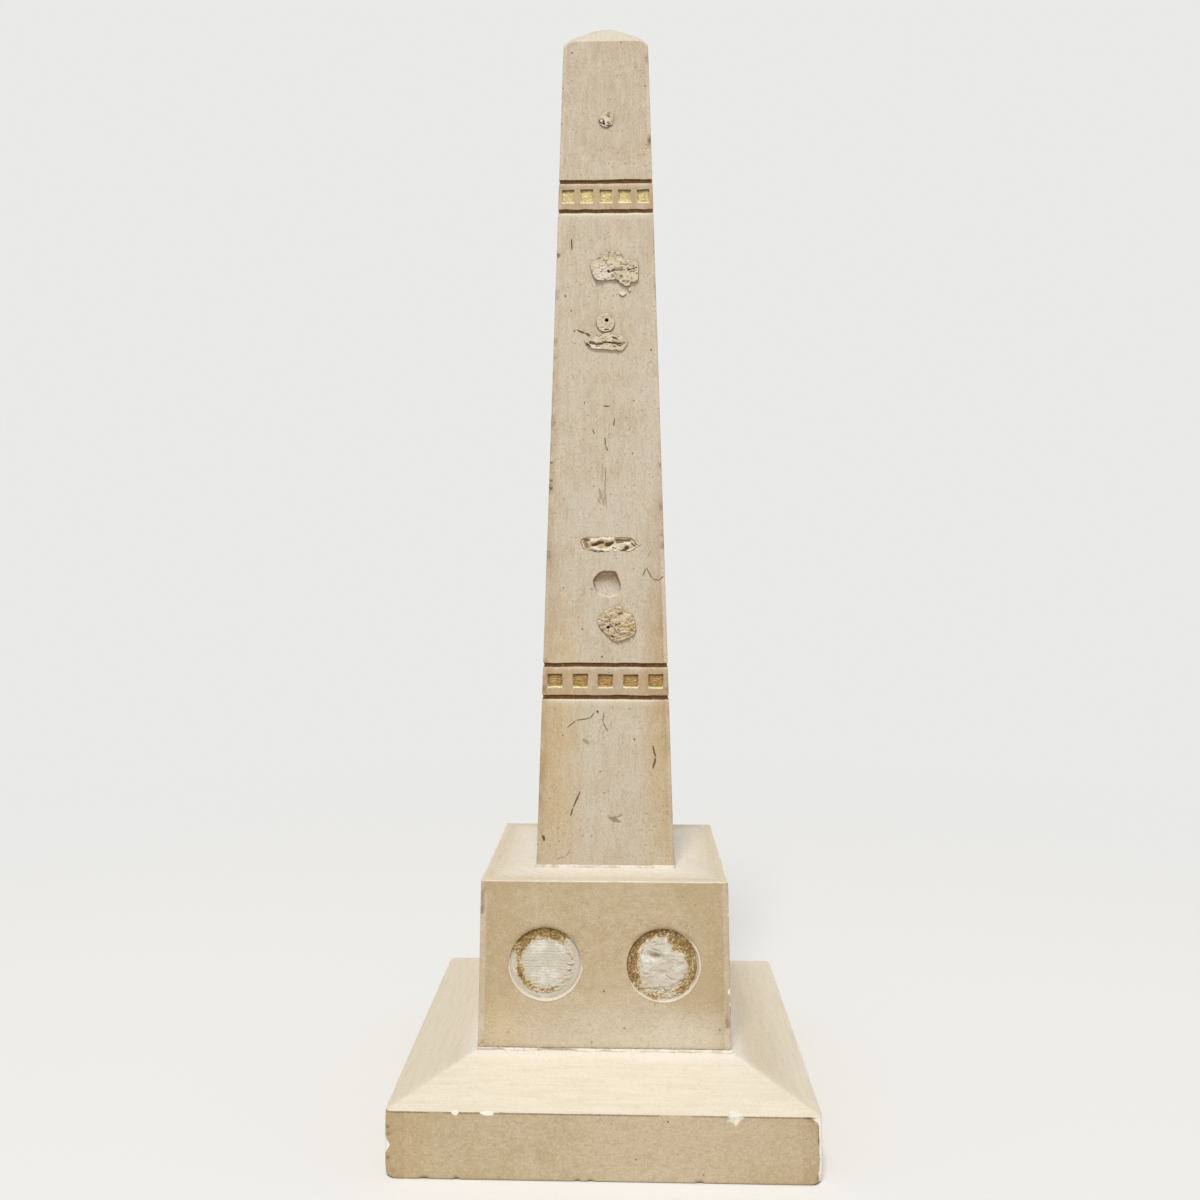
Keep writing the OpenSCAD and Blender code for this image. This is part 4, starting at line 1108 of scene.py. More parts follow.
def feather_height(across, up, edge):
    """Height of the plaster in the feather socket: an oval rim round two hollows, a lump and flat gaps."""
    points = flat_points(across, up)
    bend = 0.35 * fractal(points, 1.4, 305, 3)
    oval = np.hypot((across + 0.84) / 4.3, (up - 114.9) / 2.3)
    lumps = -0.25 + 0.4 * fractal(points, 1.5, 301, 3) + 0.4 * bell(oval - 0.95, 0.2)
    lumps = lumps - 0.45 * fade(0.5, 0.85, oval) + 0.3 * np.abs(fractal(points, 0.9, 309, 3))
    flats = [
        ((-7.5, 116.7), (-6.3, 116.7)), ((-7.3, 115.8), (-6.7, 114.2)),
        ((4.0, 116.6), (8.6, 116.5)), ((4.3, 116.0), (6.2, 116.0)),
    ]
    hollows = [((-4.6, 114.9), (-1.3, 115.9)), ((0.6, 114.9), (2.6, 115.7)), ((6.8, 113.0), (7.7, 113.9))]
    cracks = [((-5.2, 112.8), (-1.1, 112.5)), ((2.7, 113.9), (5.8, 112.9)), ((9.3, 115.5), (10.5, 114.6))]
    for kind, wide, deep in ((flats, 0.8, 1.02), (hollows, 0.9, 1.35), (cracks, 0.25, 0.9)):
        away = np.min([line_distance(across, up, line) for line in kind], axis=0) + bend
        cut = fade(0.2 * wide, 1.2 * wide, away)
        lumps = lumps * (1 - cut) - (deep - 0.15 * lumps) * cut
    return np.minimum(lumps, 0.28)


def circle(centre, radius):
    """Points of a circle."""
    turn = turns(24)
    return np.stack([centre[0] + radius * np.cos(turn), centre[1] + radius * np.sin(turn)], -1)


def pedestal_face(sizes, across, up, proud):
    """Places on the pedestal's front: across, up from its foot, and proud of the face."""
    batter = (PEDESTAL_HALF - sizes.pedestal_top_half) / (PEDESTAL_TOP - PEDESTAL_FOOT)
    return np.stack([across, -(PEDESTAL_HALF - batter * up) - proud, PEDESTAL_FOOT + up], -1)


def disc_rings(columns, inner, outer, rings):
    """Directions, radii and places of rings from an outer to an inner radius round a roundel's centre."""
    turn = turns(columns)
    span = inner + (outer(turn) - inner) * np.linspace(1, 0, rings)[:, None]
    return turn, span, span * np.cos(turn), span * np.sin(turn)


def rim_share(turn, low, high, tilt):
    """Where the plaster was pushed up over the stone: 1 round the foot of a roundel, 0 at its top."""
    return ease(low, high, -np.sin(turn + tilt))


def ragged(across, up, seed):
    """Noise that breaks up the borders of the glue."""
    return fractal(flat_points(across, up), 2.2, seed, 4)


def right_middle(across, up):
    """Share of the right roundel's bare middle: a rounded square with wandering sides, less one corner."""
    wander = 1.5 * ragged(across, up, 409)
    square = (np.abs(across) ** 3 + np.abs(0.92 * (up - 0.5)) ** 3) ** (1 / 3)
    corner = np.hypot(across - 6.8, up - 8.6) - 4.6
    return fade(6.9, 9.0, square + wander) * ease(-0.5, 1.5, corner + wander)


def combed(across, up, span):
    """Relief of the left plaster: fine level combing in the middle, a crumbly ring, a smooth outer band."""
    points = flat_points(across, up)
    comb = np.sin(up * 2 * math.pi + 3.5 * fractal(points, 4, 401, 3))
    middle = fade(7.0, 8.2, span)
    crumbly = bell(span - 8.9, 1.2) * (0.35 + 0.65 * ease(-0.2, 0.5, (across - 2 * up) / 14))
    lumps = fractal(points, 1.9, 405, 4)
    crumbs = fractal(points * np.array([0.6, 1.3, 1]), 0.8, 407, 3)
    strokes = bell(up - 3.9, 0.14) + bell(up + 1.5, 0.14)
    relief = (0.04 * comb + 0.1 * lumps - 0.12 * strokes) * middle + 0.75 * crumbs * crumbly
    return relief - 0.15 * ease(9.5, 11, span)


def lumpy(across, up, span):
    """Relief of the right plaster: a high creased middle, a hollow at its upper left and a crumbly foot."""
    points = flat_points(across, up)
    middle = right_middle(across, up)
    folds = 1 - 2 * np.abs(fractal(points * np.array([0.6, 1.3, 1]), 4.2, 411, 3))
    away = np.min([line_distance(across, up, line) for line in ROUNDEL_FOLDS], axis=0)
    away = away + 0.25 * fractal(points, 1.5, 413, 2)
    crease = 0.22 * bell(away - 0.5, 0.35) - 0.3 * bell(away, 0.3)
    crease = crease * ease(-0.35, 0.35, fractal(points, 2.4, 417, 2))
    hollow = bell(np.hypot((across + 2.8) / 2.2, up - 2.7), 1.2)
    crumbs = np.abs(fractal(points, 1.3, 415, 3)) * ease(5, 8.5, -up)
    return middle * (0.4 + 0.5 * folds + crease) - 1.7 * hollow + 0.8 * crumbs


def plaster_face(sizes, relief, bed, rim, across, up, span, turn):
    """Height of a roundel's plaster above the pedestal's face: bed and relief, and a bead over the edge."""
    level = -sizes.roundel_depth + bed + relief(across, up, span)
    edge = sizes.roundel_radius
    climb = rim_share(turn, *rim) * ease(edge - 0.55, edge - 0.1, span)
    wave = 0.12 * fractal(flat_points(across, up), 2, 419, 2)
    bead = 0.22 + wave - 0.9 * np.maximum(span - edge - 0.1, 0)
    return np.minimum(level, -0.05) * (1 - climb) + bead * climb


def plaster_shell(sizes, name, relief, bed, rim, share):
    """Plaster in a roundel: rings from its rim to its centre, over a flat underside."""
    edge = sizes.roundel_radius

    def outer(turn):
        uneven = fractal(flat_points(np.cos(turn), np.sin(turn)), 0.3, 433, 3)
        return edge - 0.12 + (0.45 + 0.3 * uneven) * rim_share(turn, *rim)

    turn, span, across, up = disc_rings(220, 0.02, outer, 90)
    proud = plaster_face(sizes, relief, bed, rim, across, up, span, turn)
    floor = np.full((1, len(turn)), -sizes.roundel_depth - 0.03)
    rows = [np.concatenate([v[:1], v]) + middle for v, middle in zip((across, up), roundel_centre(name))]
    grid = pedestal_face(sizes, *rows, np.concatenate([floor, proud]))
    low = ease(0.05, 0.5, -sizes.roundel_depth + bed - proud)
    # Painted shadow: a dark line just inside the bead at the lower right.
    seam = bell(span - edge + 0.7, 0.2) * ease(0.0, 0.6, np.cos(turn + math.radians(50)))
    # Painted highlight on the bead over the roundel's lower edge.
    bright = rim_share(turn, *rim) * ease(edge - 0.5, edge - 0.25, span)
    glue = share(across, up) * (1 - bright)
    values = {"glue": glue, "low": np.maximum(low, seam), "bright": bright}
    return ring_shell(grid, {key: np.concatenate([value[:1], value]) for key, value in values.items()})


def left_glue(across, up):
    """Share of glue in the left roundel: a crescent at the top, a streak down the left, flecks below it."""
    turn, span = np.arctan2(up, across), np.hypot(across, up)
    ring = bell(span - 9.2, 1.4)
    top = ease(0.3, 0.95, np.cos(turn - math.radians(102))) * ease(6.8, 11.0, span)
    left = ease(0.3, 0.8, np.cos(turn - math.radians(184))) * ring
    foot = ease(0.4, 0.9, np.cos(turn - math.radians(240))) * ring
    share = np.maximum(np.maximum(1.1 * top, 0.68 * left), 0.5 * foot) + 0.16 * ring
    return clamp(share * (1 + 0.6 * ragged(across, up, 423)))


def right_glue(across, up):
    """Share of glue in the right roundel: a broad ring round a square middle, less at foot and right rim."""
    turn, span = np.arctan2(up, across), np.hypot(across, up)
    foot = ease(0.55, 0.9, np.cos(turn + math.radians(100)))
    rim = ease(11.2, 12.0, span) * ease(-0.1, 0.4, np.cos(turn + math.radians(10)))
    rings = np.sin(span / 0.85 * 2 * math.pi + 5 * fractal(flat_points(across, up), 3.5, 427, 2))
    share = (1 - right_middle(across, up)) * (1 - 0.5 * foot) * (1 - 0.8 * rim)
    share = share * (0.68 + 0.32 * ease(8.5, 11.5, span))
    return clamp(share * (1 + 0.2 * rings + 0.6 * ragged(across, up, 431)))


def glue_shell(sizes, name, relief, bed, rim, share, seed):
    """Glue round a roundel: a lumpy ring that comes through the plaster's face where its share is high."""
    centre = roundel_centre(name)
    outer = sizes.roundel_radius - 0.14
    turn, span, across, up = disc_rings(340, 6.4, lambda t: np.full_like(t, outer), 48)
    points = flat_points(across + centre[0], up + centre[1])
    lumps = fractal(points, 1.1, seed + 5, 4)
    rings = np.sin(span / 0.75 * 2 * math.pi + 6 * fractal(points, 3, seed + 9, 2))
    under = plaster_face(sizes, relief, bed, rim, across, up, span, turn)
    part = share(across, up)
    proud = np.minimum(under, -0.1) + 0.5 * (part - 0.45) + 0.45 * lumps + 0.08 * rings
    proud = np.clip(proud, -sizes.roundel_depth, -0.12)
    floor = np.full((1, len(turn)), -sizes.roundel_depth - 0.02)
    rows = [np.concatenate([v[-1:], v[:1], v]) + middle for v, middle in zip((across, up), centre)]
    grid = pedestal_face(sizes, *rows, np.concatenate([floor, floor, proud]))
    # Painted shadow: darker along the upper outer edge of the glue.
    dark = ease(11.0, 12.2, span) * ease(0.2, 0.8, np.sin(turn))
    low = clamp(ease(0.1, -0.45, lumps + 0.25 * rings) + dark)
    values = {"glue": part, "low": low, "bright": 0 * low}
    ends = {key: np.concatenate([value[-1:], value[:1], value]) for key, value in values.items()}
    return ring_shell(grid, ends, capped=False)


def put(tree, socket, value):
    """Links an output to a socket, or sets a plain value on it."""
    if isinstance(value, bpy.types.NodeSocket):
        tree.links.new(value, socket)
    elif socket.type == "RGBA":
        socket.default_value = (*value, 1)
    else:
        socket.default_value = value


def add_node(tree, kind, inputs=(), **settings):
    """Adds a node of a kind with its settings, and fills its inputs, given by name or number."""
    node = tree.nodes.new("ShaderNode" + kind)
    for name, value in settings.items():
        setattr(node, name, value)
    for entry, value in dict(inputs).items():
        put(tree, node.inputs[entry], value)
    return node


class Finish:
    """One finish as a node tree, laid coat by coat over a base colour.

    Each call adds nodes and gives an output. A word stands for the value of that name on the piece's surface.
    Grains and depths are in millimetres.
    """

    def __init__(self, name, base):
        self.material = bpy.data.materials.new(name)
        self.material.use_nodes = True
        self.tree = self.material.node_tree
        self.shader = self.tree.nodes["Principled BSDF"]
        self.where = self.add("TexCoord").outputs["Object"]
        self.base = base

    def add(self, kind, inputs=(), **settings):
        """Adds a node, with words among its inputs read from the surface."""
        read = dict(inputs)
        for entry, value in read.items():
            if isinstance(value, str):
                read[entry] = self.add("Attribute", attribute_name=value).outputs["Fac"]
        return add_node(self.tree, kind, read, **settings)

    def grains(self, grain, stretch, offset):
        """Places counted in grains, stretched along the axes."""
        inputs = {"Vector": self.where, "Location": offset, "Scale": [1 / (grain * MM * s) for s in stretch]}
        return self.add("Mapping", inputs).outputs["Vector"]

    def noise(self, grain, detail=4.0, stretch=(1, 1, 1), roughness=0.55, offset=(0, 0, 0)):
        """Noise texture with features about one grain wide."""
        vector = self.grains(grain, stretch, offset)
        inputs = {"Vector": vector, "Scale": 1, "Detail": detail, "Roughness": roughness}
        return self.add("TexNoise", inputs).outputs["Fac"]

    def pits(self, grain, size, share, stretch=(1, 1, 1), offset=(0, 0, 0)):
        """Small spots: cells whose random value passes a share, within a radius of their point."""
        cells = self.add("TexVoronoi", {"Vector": self.grains(grain, stretch, offset), "Scale": 1})
        chance = self.add("SeparateColor", {"Color": cells.outputs["Color"]})
        radius = self.span(chance.outputs["Green"], 0.0, 1.0, size * 0.5, size)
        away = self.maths("SUBTRACT", cells.outputs["Distance"], radius)
        spot = self.span(away, -size * 0.35, size * 0.35, 1.0, 0.0)
        return self.times(spot, self.maths("GREATER_THAN", chance.outputs["Red"], 1 - share))

    def axis(self, name):
        """One coordinate of the place, in metres."""
        return self.add("SeparateXYZ", {"Vector": self.where}).outputs[name]

    def span(self, value, low, high, to_low=0.0, to_high=1.0):
        """Eased step of a value between two limits."""
        inputs = {"Value": value, "From Min": low, "From Max": high, "To Min": to_low, "To Max": to_high}
        return self.add("MapRange", inputs, interpolation_type="SMOOTHSTEP").outputs["Result"]

    def maths(self, operation, first, second):
        """One sum of two values."""
        return self.add("Math", {0: first, 1: second}, operation=operation).outputs["Value"]

    def times(self, first, second):
        """Product of two values."""
        return self.maths("MULTIPLY", first, second)

    def mix(self, share, first, second):
        """Mix of two colours."""
        return self.add("Mix", {"Factor": share, 6: first, 7: second}, data_type="RGBA").outputs[2]

    def lay(self, tint, share, low=None, high=None, most=1.0):
        """Lays a colour over the base by a share, or by a value that is eased between two limits."""
        if low is not None:
            share = self.span(share, low, high, 0.0, most)
        self.base = self.mix(share, self.base, tint)

    def bump(self, height, depth, normal=None):
        """Bump of a height between 0 and 1."""
        inputs = {"Distance": depth * MM, "Height": height}
        if normal is not None:
            inputs["Normal"] = normal
        return self.add("Bump", inputs).outputs["Normal"]

    def close(self, roughness, normal, metallic=0.0, specular=0.35):
        """Puts the results on the shader."""
        results = {
            "Base Color": self.base, "Roughness": roughness, "Normal": normal, "Metallic": metallic,
            "Specular IOR Level": specular,
        }
        for name, value in results.items():
            put(self.tree, self.shader.inputs[name], value)
        return self.material


def scratches(finish):
    """Marks of all scratches on the shaft's front: long thin ellipses on places that wander a little."""
    wander = SCRATCH_WANDER * MM
    origin = (wander / 2, 0, SHAFT_FOOT * MM + wander / 2)
    shifted = finish.add("VectorMath", {0: finish.where, 1: origin}, operation="SUBTRACT").outputs["Vector"]
    inputs = {0: finish.noise(1.5, 2.0), 1: (wander, 0, wander), 2: shifted}
    stray = finish.add("VectorMath", inputs, operation="MULTIPLY_ADD").outputs["Vector"]
    total = 0.0
    for points, width, strength in SCRATCHES:
        line = np.array(points) * MM
        for start, end in zip(line[:-1], line[1:]):
            run, centre = end - start, (start + end) / 2
            inputs = {
                "Vector": stray,
                "Location": (centre[0], 0, centre[1]),
                "Rotation": (0, -math.atan2(run[1], run[0]), 0),
                "Scale": (0.62 * np.hypot(*run) + 0.3 * width * MM, 1, 0.75 * width * MM),
            }
            ellipse = finish.add("Mapping", inputs, vector_type="TEXTURE").outputs["Vector"]
            inside = finish.add("TexGradient", {"Vector": ellipse}, gradient_type="SPHERICAL").outputs["Fac"]
            total = finish.maths("MAXIMUM", total, finish.span(inside, 0.08, 0.42, 0.0, strength))
    return finish.times(total, finish.span(finish.axis("Y"), -15.0 * MM, -14.5 * MM, 1.0, 0.0))


def brush_marks(finish):
    """Brush streaks along each side of a square plan: noise along X or along Y, by the larger place."""
    far_x, far_y = (finish.maths("ABSOLUTE", finish.axis(name), 0.0) for name in ("X", "Y"))
    along_x, along_y = (finish.noise(1.2, 4.0, stretch) for stretch in ((14, 1.2, 1), (1.2, 14, 1)))
    turned = finish.maths("GREATER_THAN", far_x, far_y)
    return finish.maths("ADD", along_x, finish.times(turned, finish.maths("SUBTRACT", along_y, along_x)))


def stone_finish(name, colours, cream, ochre, streak, specked, marked=False):
    """Worn cream stone: two tones by patches and streaks, pale ledges, stains, pits, chips, dust, dirt, painted
    highlights and painted shade.
    """
    finish = Finish(name, cream)
    streaks = finish.noise(1.0, 5.0, streak)
    patches = finish.noise(13, 5.0)
    grain = finish.noise(0.5, 3.0, [v**0.3 for v in streak], 0.7)
    mottle = finish.noise(3.2, 4.0, [max(1, v / 3) for v in streak], offset=(8, 1, 6))
    dull = finish.span("pale", 0.0, 1.0, 1.0, 0.3)
    tone = "warm"
    for noise, most in ((patches, 0.2 if marked else 0.3), (streaks, 0.26), (mottle, 0.3)):
        tone = finish.maths("ADD", tone, finish.span(noise, 0.3, 0.7, -most, most))
    finish.lay(ochre, tone, -0.1, 1.2)
    ledge = colours.ledge_cream
    if not marked:
        brushed = finish.span(brush_marks(finish), 0.4, 0.66, 0.0, 0.3)
        ledge = finish.mix(brushed, colours.ledge_cream, colours.residue_cream)
    finish.lay(colours.glaze, finish.times("yellow", finish.span(mottle, 0.3, 0.65, 0.6, 1.0)))
    # Pale upward faces, with painted highlights along arrises, under grooves, on the dish's lower edge and, in
    # part, at the pedestal's foot.
    finish.lay(ledge, "pale")
    finish.lay(colours.plaster, finish.times("dust", finish.span(streaks, 0.3, 0.6, 0.6, 1.0)))
    # Stains, with painted shade in the dish's upper half and above the roundels.
    finish.lay(colours.stain_and_shade, finish.times("stain_and_shade", finish.span(mottle, 0.3, 0.65, 0.45, 0.9)))
    grey = finish.span(finish.noise(1.3, 4.0, streak, offset=(3, 5, 7)), 0.5, 0.75, 0.0, 0.3)
    finish.lay(colours.grey_grain_and_shade, finish.times(grey, dull))
    finish.lay(colours.grey_grain_and_shade, finish.times(finish.span(grain, 0.5, 0.72, 0.0, 0.75), dull))
    finish.lay(colours.ledge_cream, grain, 0.46, 0.3, 0.34)
    specks = finish.times(finish.pits(3.6, 0.095, 0.5 * specked, (1, 1, 1.3)), 0.8)
    dots = finish.times(finish.pits(1.5, 0.18, 0.4 * specked, offset=(2, 9, 4)), 0.5)
    marks = finish.times(finish.maths("MAXIMUM", specks, dots), finish.span(grain, 0.4, 0.52))
    marks = finish.times(finish.times(marks, dull), finish.span("dust", 0.2, 0.5, 1.0, 0.0))
    if marked:
        marks = finish.maths("MAXIMUM", marks, scratches(finish))
    finish.lay(colours.stain_and_shade, marks)
    finish.lay(colours.scratch_and_shade, marks, 0.4, 0.9)
    chipped = finish.maths("ADD", "fresh_and_highlight", finish.span(grain, 0.3, 0.7, -0.2, 0.2))
    # Fresh stone in chips, and a painted highlight along the pedestal's top arris.
    finish.lay(colours.fresh_stone_and_highlight, chipped, 0.42, 0.58)
    # Dirt, with painted shade in the dish, above the roundels and under the plinth's top arris.
    finish.lay(colours.scratch_and_shade, finish.times("dirt_and_shade", finish.span(grain, 0.2, 0.7, 0.55, 1.0)))
    height = finish.maths("ADD", finish.times(grain, 0.5), finish.times(streaks, 0.5))
    normal = finish.bump(finish.maths("SUBTRACT", 1.0, marks), 0.3, finish.bump(height, 0.14))
    return finish.close(finish.span(patches, 0.3, 0.7, 0.7, 0.88), normal)


def plaster_finish(colours):
    """Bedding plaster: white with grains, soft yellow patches and dirt in its hollows."""
    finish = Finish("bedding_plaster", colours.plaster)
    grain = finish.noise(0.8, 5.0)
    pits = finish.pits(1.6, 0.12, 0.3)
    finish.lay(colours.block_cream, finish.noise(6), 0.42, 0.68, 0.5)
    finish.lay(colours.grey_grain_and_shade, grain, 0.5, 0.72, 0.4)
    finish.lay(colours.glue, finish.times("dirt_and_shade", 0.5))
    finish.lay(colours.soot, finish.times(pits, 0.45))
    normal = finish.bump(finish.maths("SUBTRACT", grain, pits), 0.35)
    return finish.close(finish.span(grain, 0.3, 0.7, 0.63, 0.85), normal)


def residue_finish(name, colours, light, dark):
    """Residue: cream plaster stained by glue, darker in its pits, with painted shade along its lower rim,
    whiter round the peg hole.
    """
    finish = Finish(name, light)
    grain = finish.noise(0.7)
    finish.lay(dark, finish.noise(2.6), 0.4, 0.7)
    finish.lay(dark, finish.span("high", 0.15, 0.7, 0.7, 0.0))
    finish.lay(colours.plaster, finish.times("white", 0.5))
    finish.lay(colours.residue_gold, grain, 0.52, 0.75, 0.45)
    # Brown in pits and cuts, and painted shade along the lower rim.
    finish.lay(colours.pigment_and_shade, finish.times("dirt_and_shade", finish.span(grain, 0.25, 0.7, 0.7, 0.95)))
    return finish.close(finish.span(grain, 0.3, 0.7, 0.55, 0.8), finish.bump(grain, 0.25))


def roundel_finish(name, colours, gloss):
    """Plaster and old glue: white and grey where clean, gold and brown flecks where it has glue, painted shadow
    along a line inside the bead and the glue's upper edge, a painted highlight on the bead.
    """
    finish = Finish(name, colours.roundel_plaster)
    grain = finish.noise(0.75, roughness=0.65)
    flecks = finish.noise(0.7, 3.0, offset=(4, 7, 2))
    patches = finish.noise(5)
    finish.lay(colours.block_cream, patches, 0.45, 0.7, 0.35)
    finish.lay(colours.plaster, patches, 0.48, 0.32, 0.8)
    finish.lay(colours.grey_grain_and_shade, grain, 0.52, 0.72, 0.45)
    # Darker grey in low places, with painted shadow along a line inside the bead and along the glue's upper
    # edge.
    finish.lay(colours.grey_grain_and_shade, finish.times("low", 0.55))
    # Painted highlight on the bead over the roundel's lower edge.
    finish.lay(colours.ledge_cream, "bright")
    torn = finish.span(finish.noise(1.1, roughness=0.7, offset=(1, 3, 9)), 0.3, 0.7, -0.36, 0.3)
    glued = finish.maths("ADD", "glue", torn)
    gold = finish.mix(finish.span(flecks, 0.5, 0.62, 0.0, 0.75), colours.glue_gold, colours.residue_cream)
    brown = finish.mix(finish.span(flecks, 0.52, 0.62, 0.0, 0.85), colours.glue, colours.residue_gold)
    brown = finish.mix(finish.span(grain, 0.5, 0.66, 0.0, 0.6), brown, colours.pigment_and_shade)
    finish.lay(colours.residue_cream, glued, 0.12, 0.4, 0.9)
    finish.lay(gold, glued, 0.3, 0.62)
    finish.lay(brown, glued, 0.55, 1.0)
    sunk = finish.times("low", finish.span(glued, 0.35, 0.6))
    # Pigment brown in the glue's low places, with painted shadow along its upper edge.
    finish.lay(colours.pigment_and_shade, finish.times(sunk, finish.span(flecks, 0.3, 0.6, 0.5, 0.12)))
    return finish.close(finish.span(grain, 0.3, 0.7, gloss - 0.12, gloss + 0.1), finish.bump(grain, 0.35))


def leaf_finish(name, colours, gold, ground, wear):
    """Worn gold leaf: dull gold over ochre ground, with brush lines, bright flecks, painted highlights on the
    sills and painted shadow under the heads.
    """
    finish = Finish(name, gold)
    brush = finish.noise(0.7, 4.0, (4, 4, 0.7))
    grain = finish.noise(0.7, roughness=0.65)
    finish.lay(ground, brush, 0.42, 0.64, wear)
    finish.lay(ground, finish.times("worn", wear))
    finish.lay(ground, grain, 0.52, 0.68, 0.8)
    flecks = finish.noise(0.6, roughness=0.65, offset=(5, 2, 8))
    finish.lay(colours.bright_gold, flecks, 0.54, 0.68, 0.95 - wear)
    # Painted highlight on the lower walls and painted shadow on the upper walls.
    finish.lay(colours.bright_gold, finish.times("sill_highlight", 0.9))
    finish.lay(colours.pigment_and_shade, finish.times("head", 0.9))
    metal = finish.span(brush, 0.35, 0.6, 0.4, 0.1)
    return finish.close(finish.span(grain, 0.3, 0.7, 0.38, 0.6), finish.bump(grain, 0.25), metal)


def pigment_finish(colours):
    """Brown pigment: dark and dusty, rubbed to reddish and golden tones."""
    finish = Finish("line_pigment", colours.pigment_and_shade)
    grain = finish.noise(0.8)
    finish.lay(colours.rubbed_pigment, grain, 0.4, 0.7, 0.6)
    finish.lay(colours.leaf_ground, finish.noise(7, 3.0), 0.6, 0.72, 0.5)
    finish.lay(colours.shaft_ochre, finish.times("worn", 0.12))
    return finish.close(finish.span(grain, 0.3, 0.7, 0.6, 0.85), finish.bump(grain, 0.2), specular=0.1)


def settings(context):
    """Sizes in millimetres and colours of the scene."""
    return Millimetres(context.scene.obelisk_sizes), context.scene.obelisk_colours


class OBELISK_OT_plinth(bpy.types.Operator):
    """Stone slab with a hipped top, worn corners and a chipped front arris"""

    bl_idname = "obelisk.plinth"
    bl_label = "Plinth"
    bl_options = {"REGISTER", "UNDO"}

    def execute(self, context):
        """Builds the plinth."""
        sizes, colours = settings(context)
        tones = colours.block_cream, colours.block_ochre
        finish = stone_finish("plinth_stone", colours, *tones, (2.2, 2.2, 1), 0.4)
        place("plinth_stone", plinth_shell(sizes), finish, ["plinth"])
        return {"FINISHED"}


class OBELISK_OT_pedestal(bpy.types.Operator):
    """Stone block with a slight batter and two round sinkings"""

    bl_idname = "obelisk.pedestal"
    bl_label = "Pedestal"
    bl_options = {"REGISTER", "UNDO"}

    def execute(self, context):
        """Builds the pedestal."""
        sizes, colours = settings(context)
        tones = colours.block_cream, colours.block_ochre
        finish = stone_finish("pedestal_stone", colours, *tones, (2, 2, 1), 0.5)
        place("pedestal_stone", pedestal_shell(sizes), finish, ["pedestal"])
        return {"FINISHED"}


class OBELISK_OT_shaft(bpy.types.Operator):
    """Tapering stone with its low pyramid, grooves, square sinkings, sockets and peg holes"""

    bl_idname = "obelisk.shaft"
    bl_label = "Shaft"
    bl_options = {"REGISTER", "UNDO"}

    def execute(self, context):
        """Builds the shaft."""
        sizes, colours = settings(context)
        tones = colours.shaft_cream, colours.shaft_ochre
        finish = stone_finish("shaft_stone", colours, *tones, (1, 1, 7), 1.0, marked=True)
        place("shaft_stone", shaft_shell(sizes), finish, ["shaft"])
        return {"FINISHED"}


class OBELISK_OT_beds(bpy.types.Operator):
    """Plaster beds between the stones"""

    bl_idname = "obelisk.beds"
    bl_label = "Plaster beds"
    bl_options = {"REGISTER", "UNDO"}

    def execute(self, context):
        """Builds the two beds."""
        finish = plaster_finish(settings(context)[1])
        for node, half, seed in (("pedestal_bed", PEDESTAL_HALF, 501), ("shaft_bed", SHAFT_HALF, 531)):
            low, high = BOX[node][:, 2]
            lip = BOX[node][1][0] - half
            place(node + "_plaster", bed_shell(half, low, high, lip, seed), finish, [node])
        return {"FINISHED"}


class OBELISK_OT_lines(bpy.types.Operator):
    """Brown pigment in the four grooves"""

    bl_idname = "obelisk.lines"
    bl_label = "Band lines"
    bl_options = {"REGISTER", "UNDO"}

    def execute(self, context):
        """Builds the pigment of both bands."""
        sizes, colours = settings(context)
        finish = pigment_finish(colours)
        for number, (band, found) in enumerate(BANDS.items()):
            for edge, line in zip(("top", "bottom"), found[2:]):
                node = f"{band}_band_{edge}_line"
                shell = line_shell(sizes, line, 541 + 2 * number)
                place(node + "_pigment", shell, finish, [node])
        return {"FINISHED"}


class OBELISK_OT_gilding(bpy.types.Operator):
    """Gold leaf in the square sinkings of all four faces"""

    bl_idname = "obelisk.gilding"
    bl_label = "Gilding"
    bl_options = {"REGISTER", "UNDO"}

    def execute(self, context):
        """Builds both rows of leaf on each side."""
        sizes, colours = settings(context)
        upper = ("upper", colours.upper_gold, colours.leaf_ground, 0.35)
        lower = ("lower", colours.lower_gold, colours.glue, 0.6)
        for band, gold, ground, wear in (upper, lower):
            finish = leaf_finish(band + "_leaf", colours, gold, ground, wear)
            for side, name in enumerate(SIDE_NAMES):
                node = f"{name}_{band}_gilding"
                place(node + "_leaf", gilding_shell(sizes, side, band), finish, [node])
        return {"FINISHED"}


class OBELISK_OT_roundels(bpy.types.Operator):
    """Plaster and glue left in the two roundels"""

    bl_idname = "obelisk.roundels"
    bl_label = "Roundels"
    bl_options = {"REGISTER", "UNDO"}

    def execute(self, context):
        """Builds the plaster and the glue of both roundels."""
        sizes, colours = settings(context)
        left = ("left", combed, left_glue, 1.05, 0.72, (-0.3, 0.2, 0.0), 601)
        right = ("right", lumpy, right_glue, 0.8, 0.42, (-0.6, 0.1, -0.6), 631)
        for name, relief, share, bed, gloss, rim, seed in (left, right):
            node = name + "_roundel_plaster"
            shell = plaster_shell(sizes, name, relief, bed, rim, share)
            place(node + "_fill", shell, roundel_finish(node, colours, gloss), [node])
            node = name + "_roundel_glue"
            shell = glue_shell(sizes, name, relief, bed, rim, share, seed)
            place(node + "_ring", shell, roundel_finish(node, colours, GLUE_GLOSS), [node])
        return {"FINISHED"}


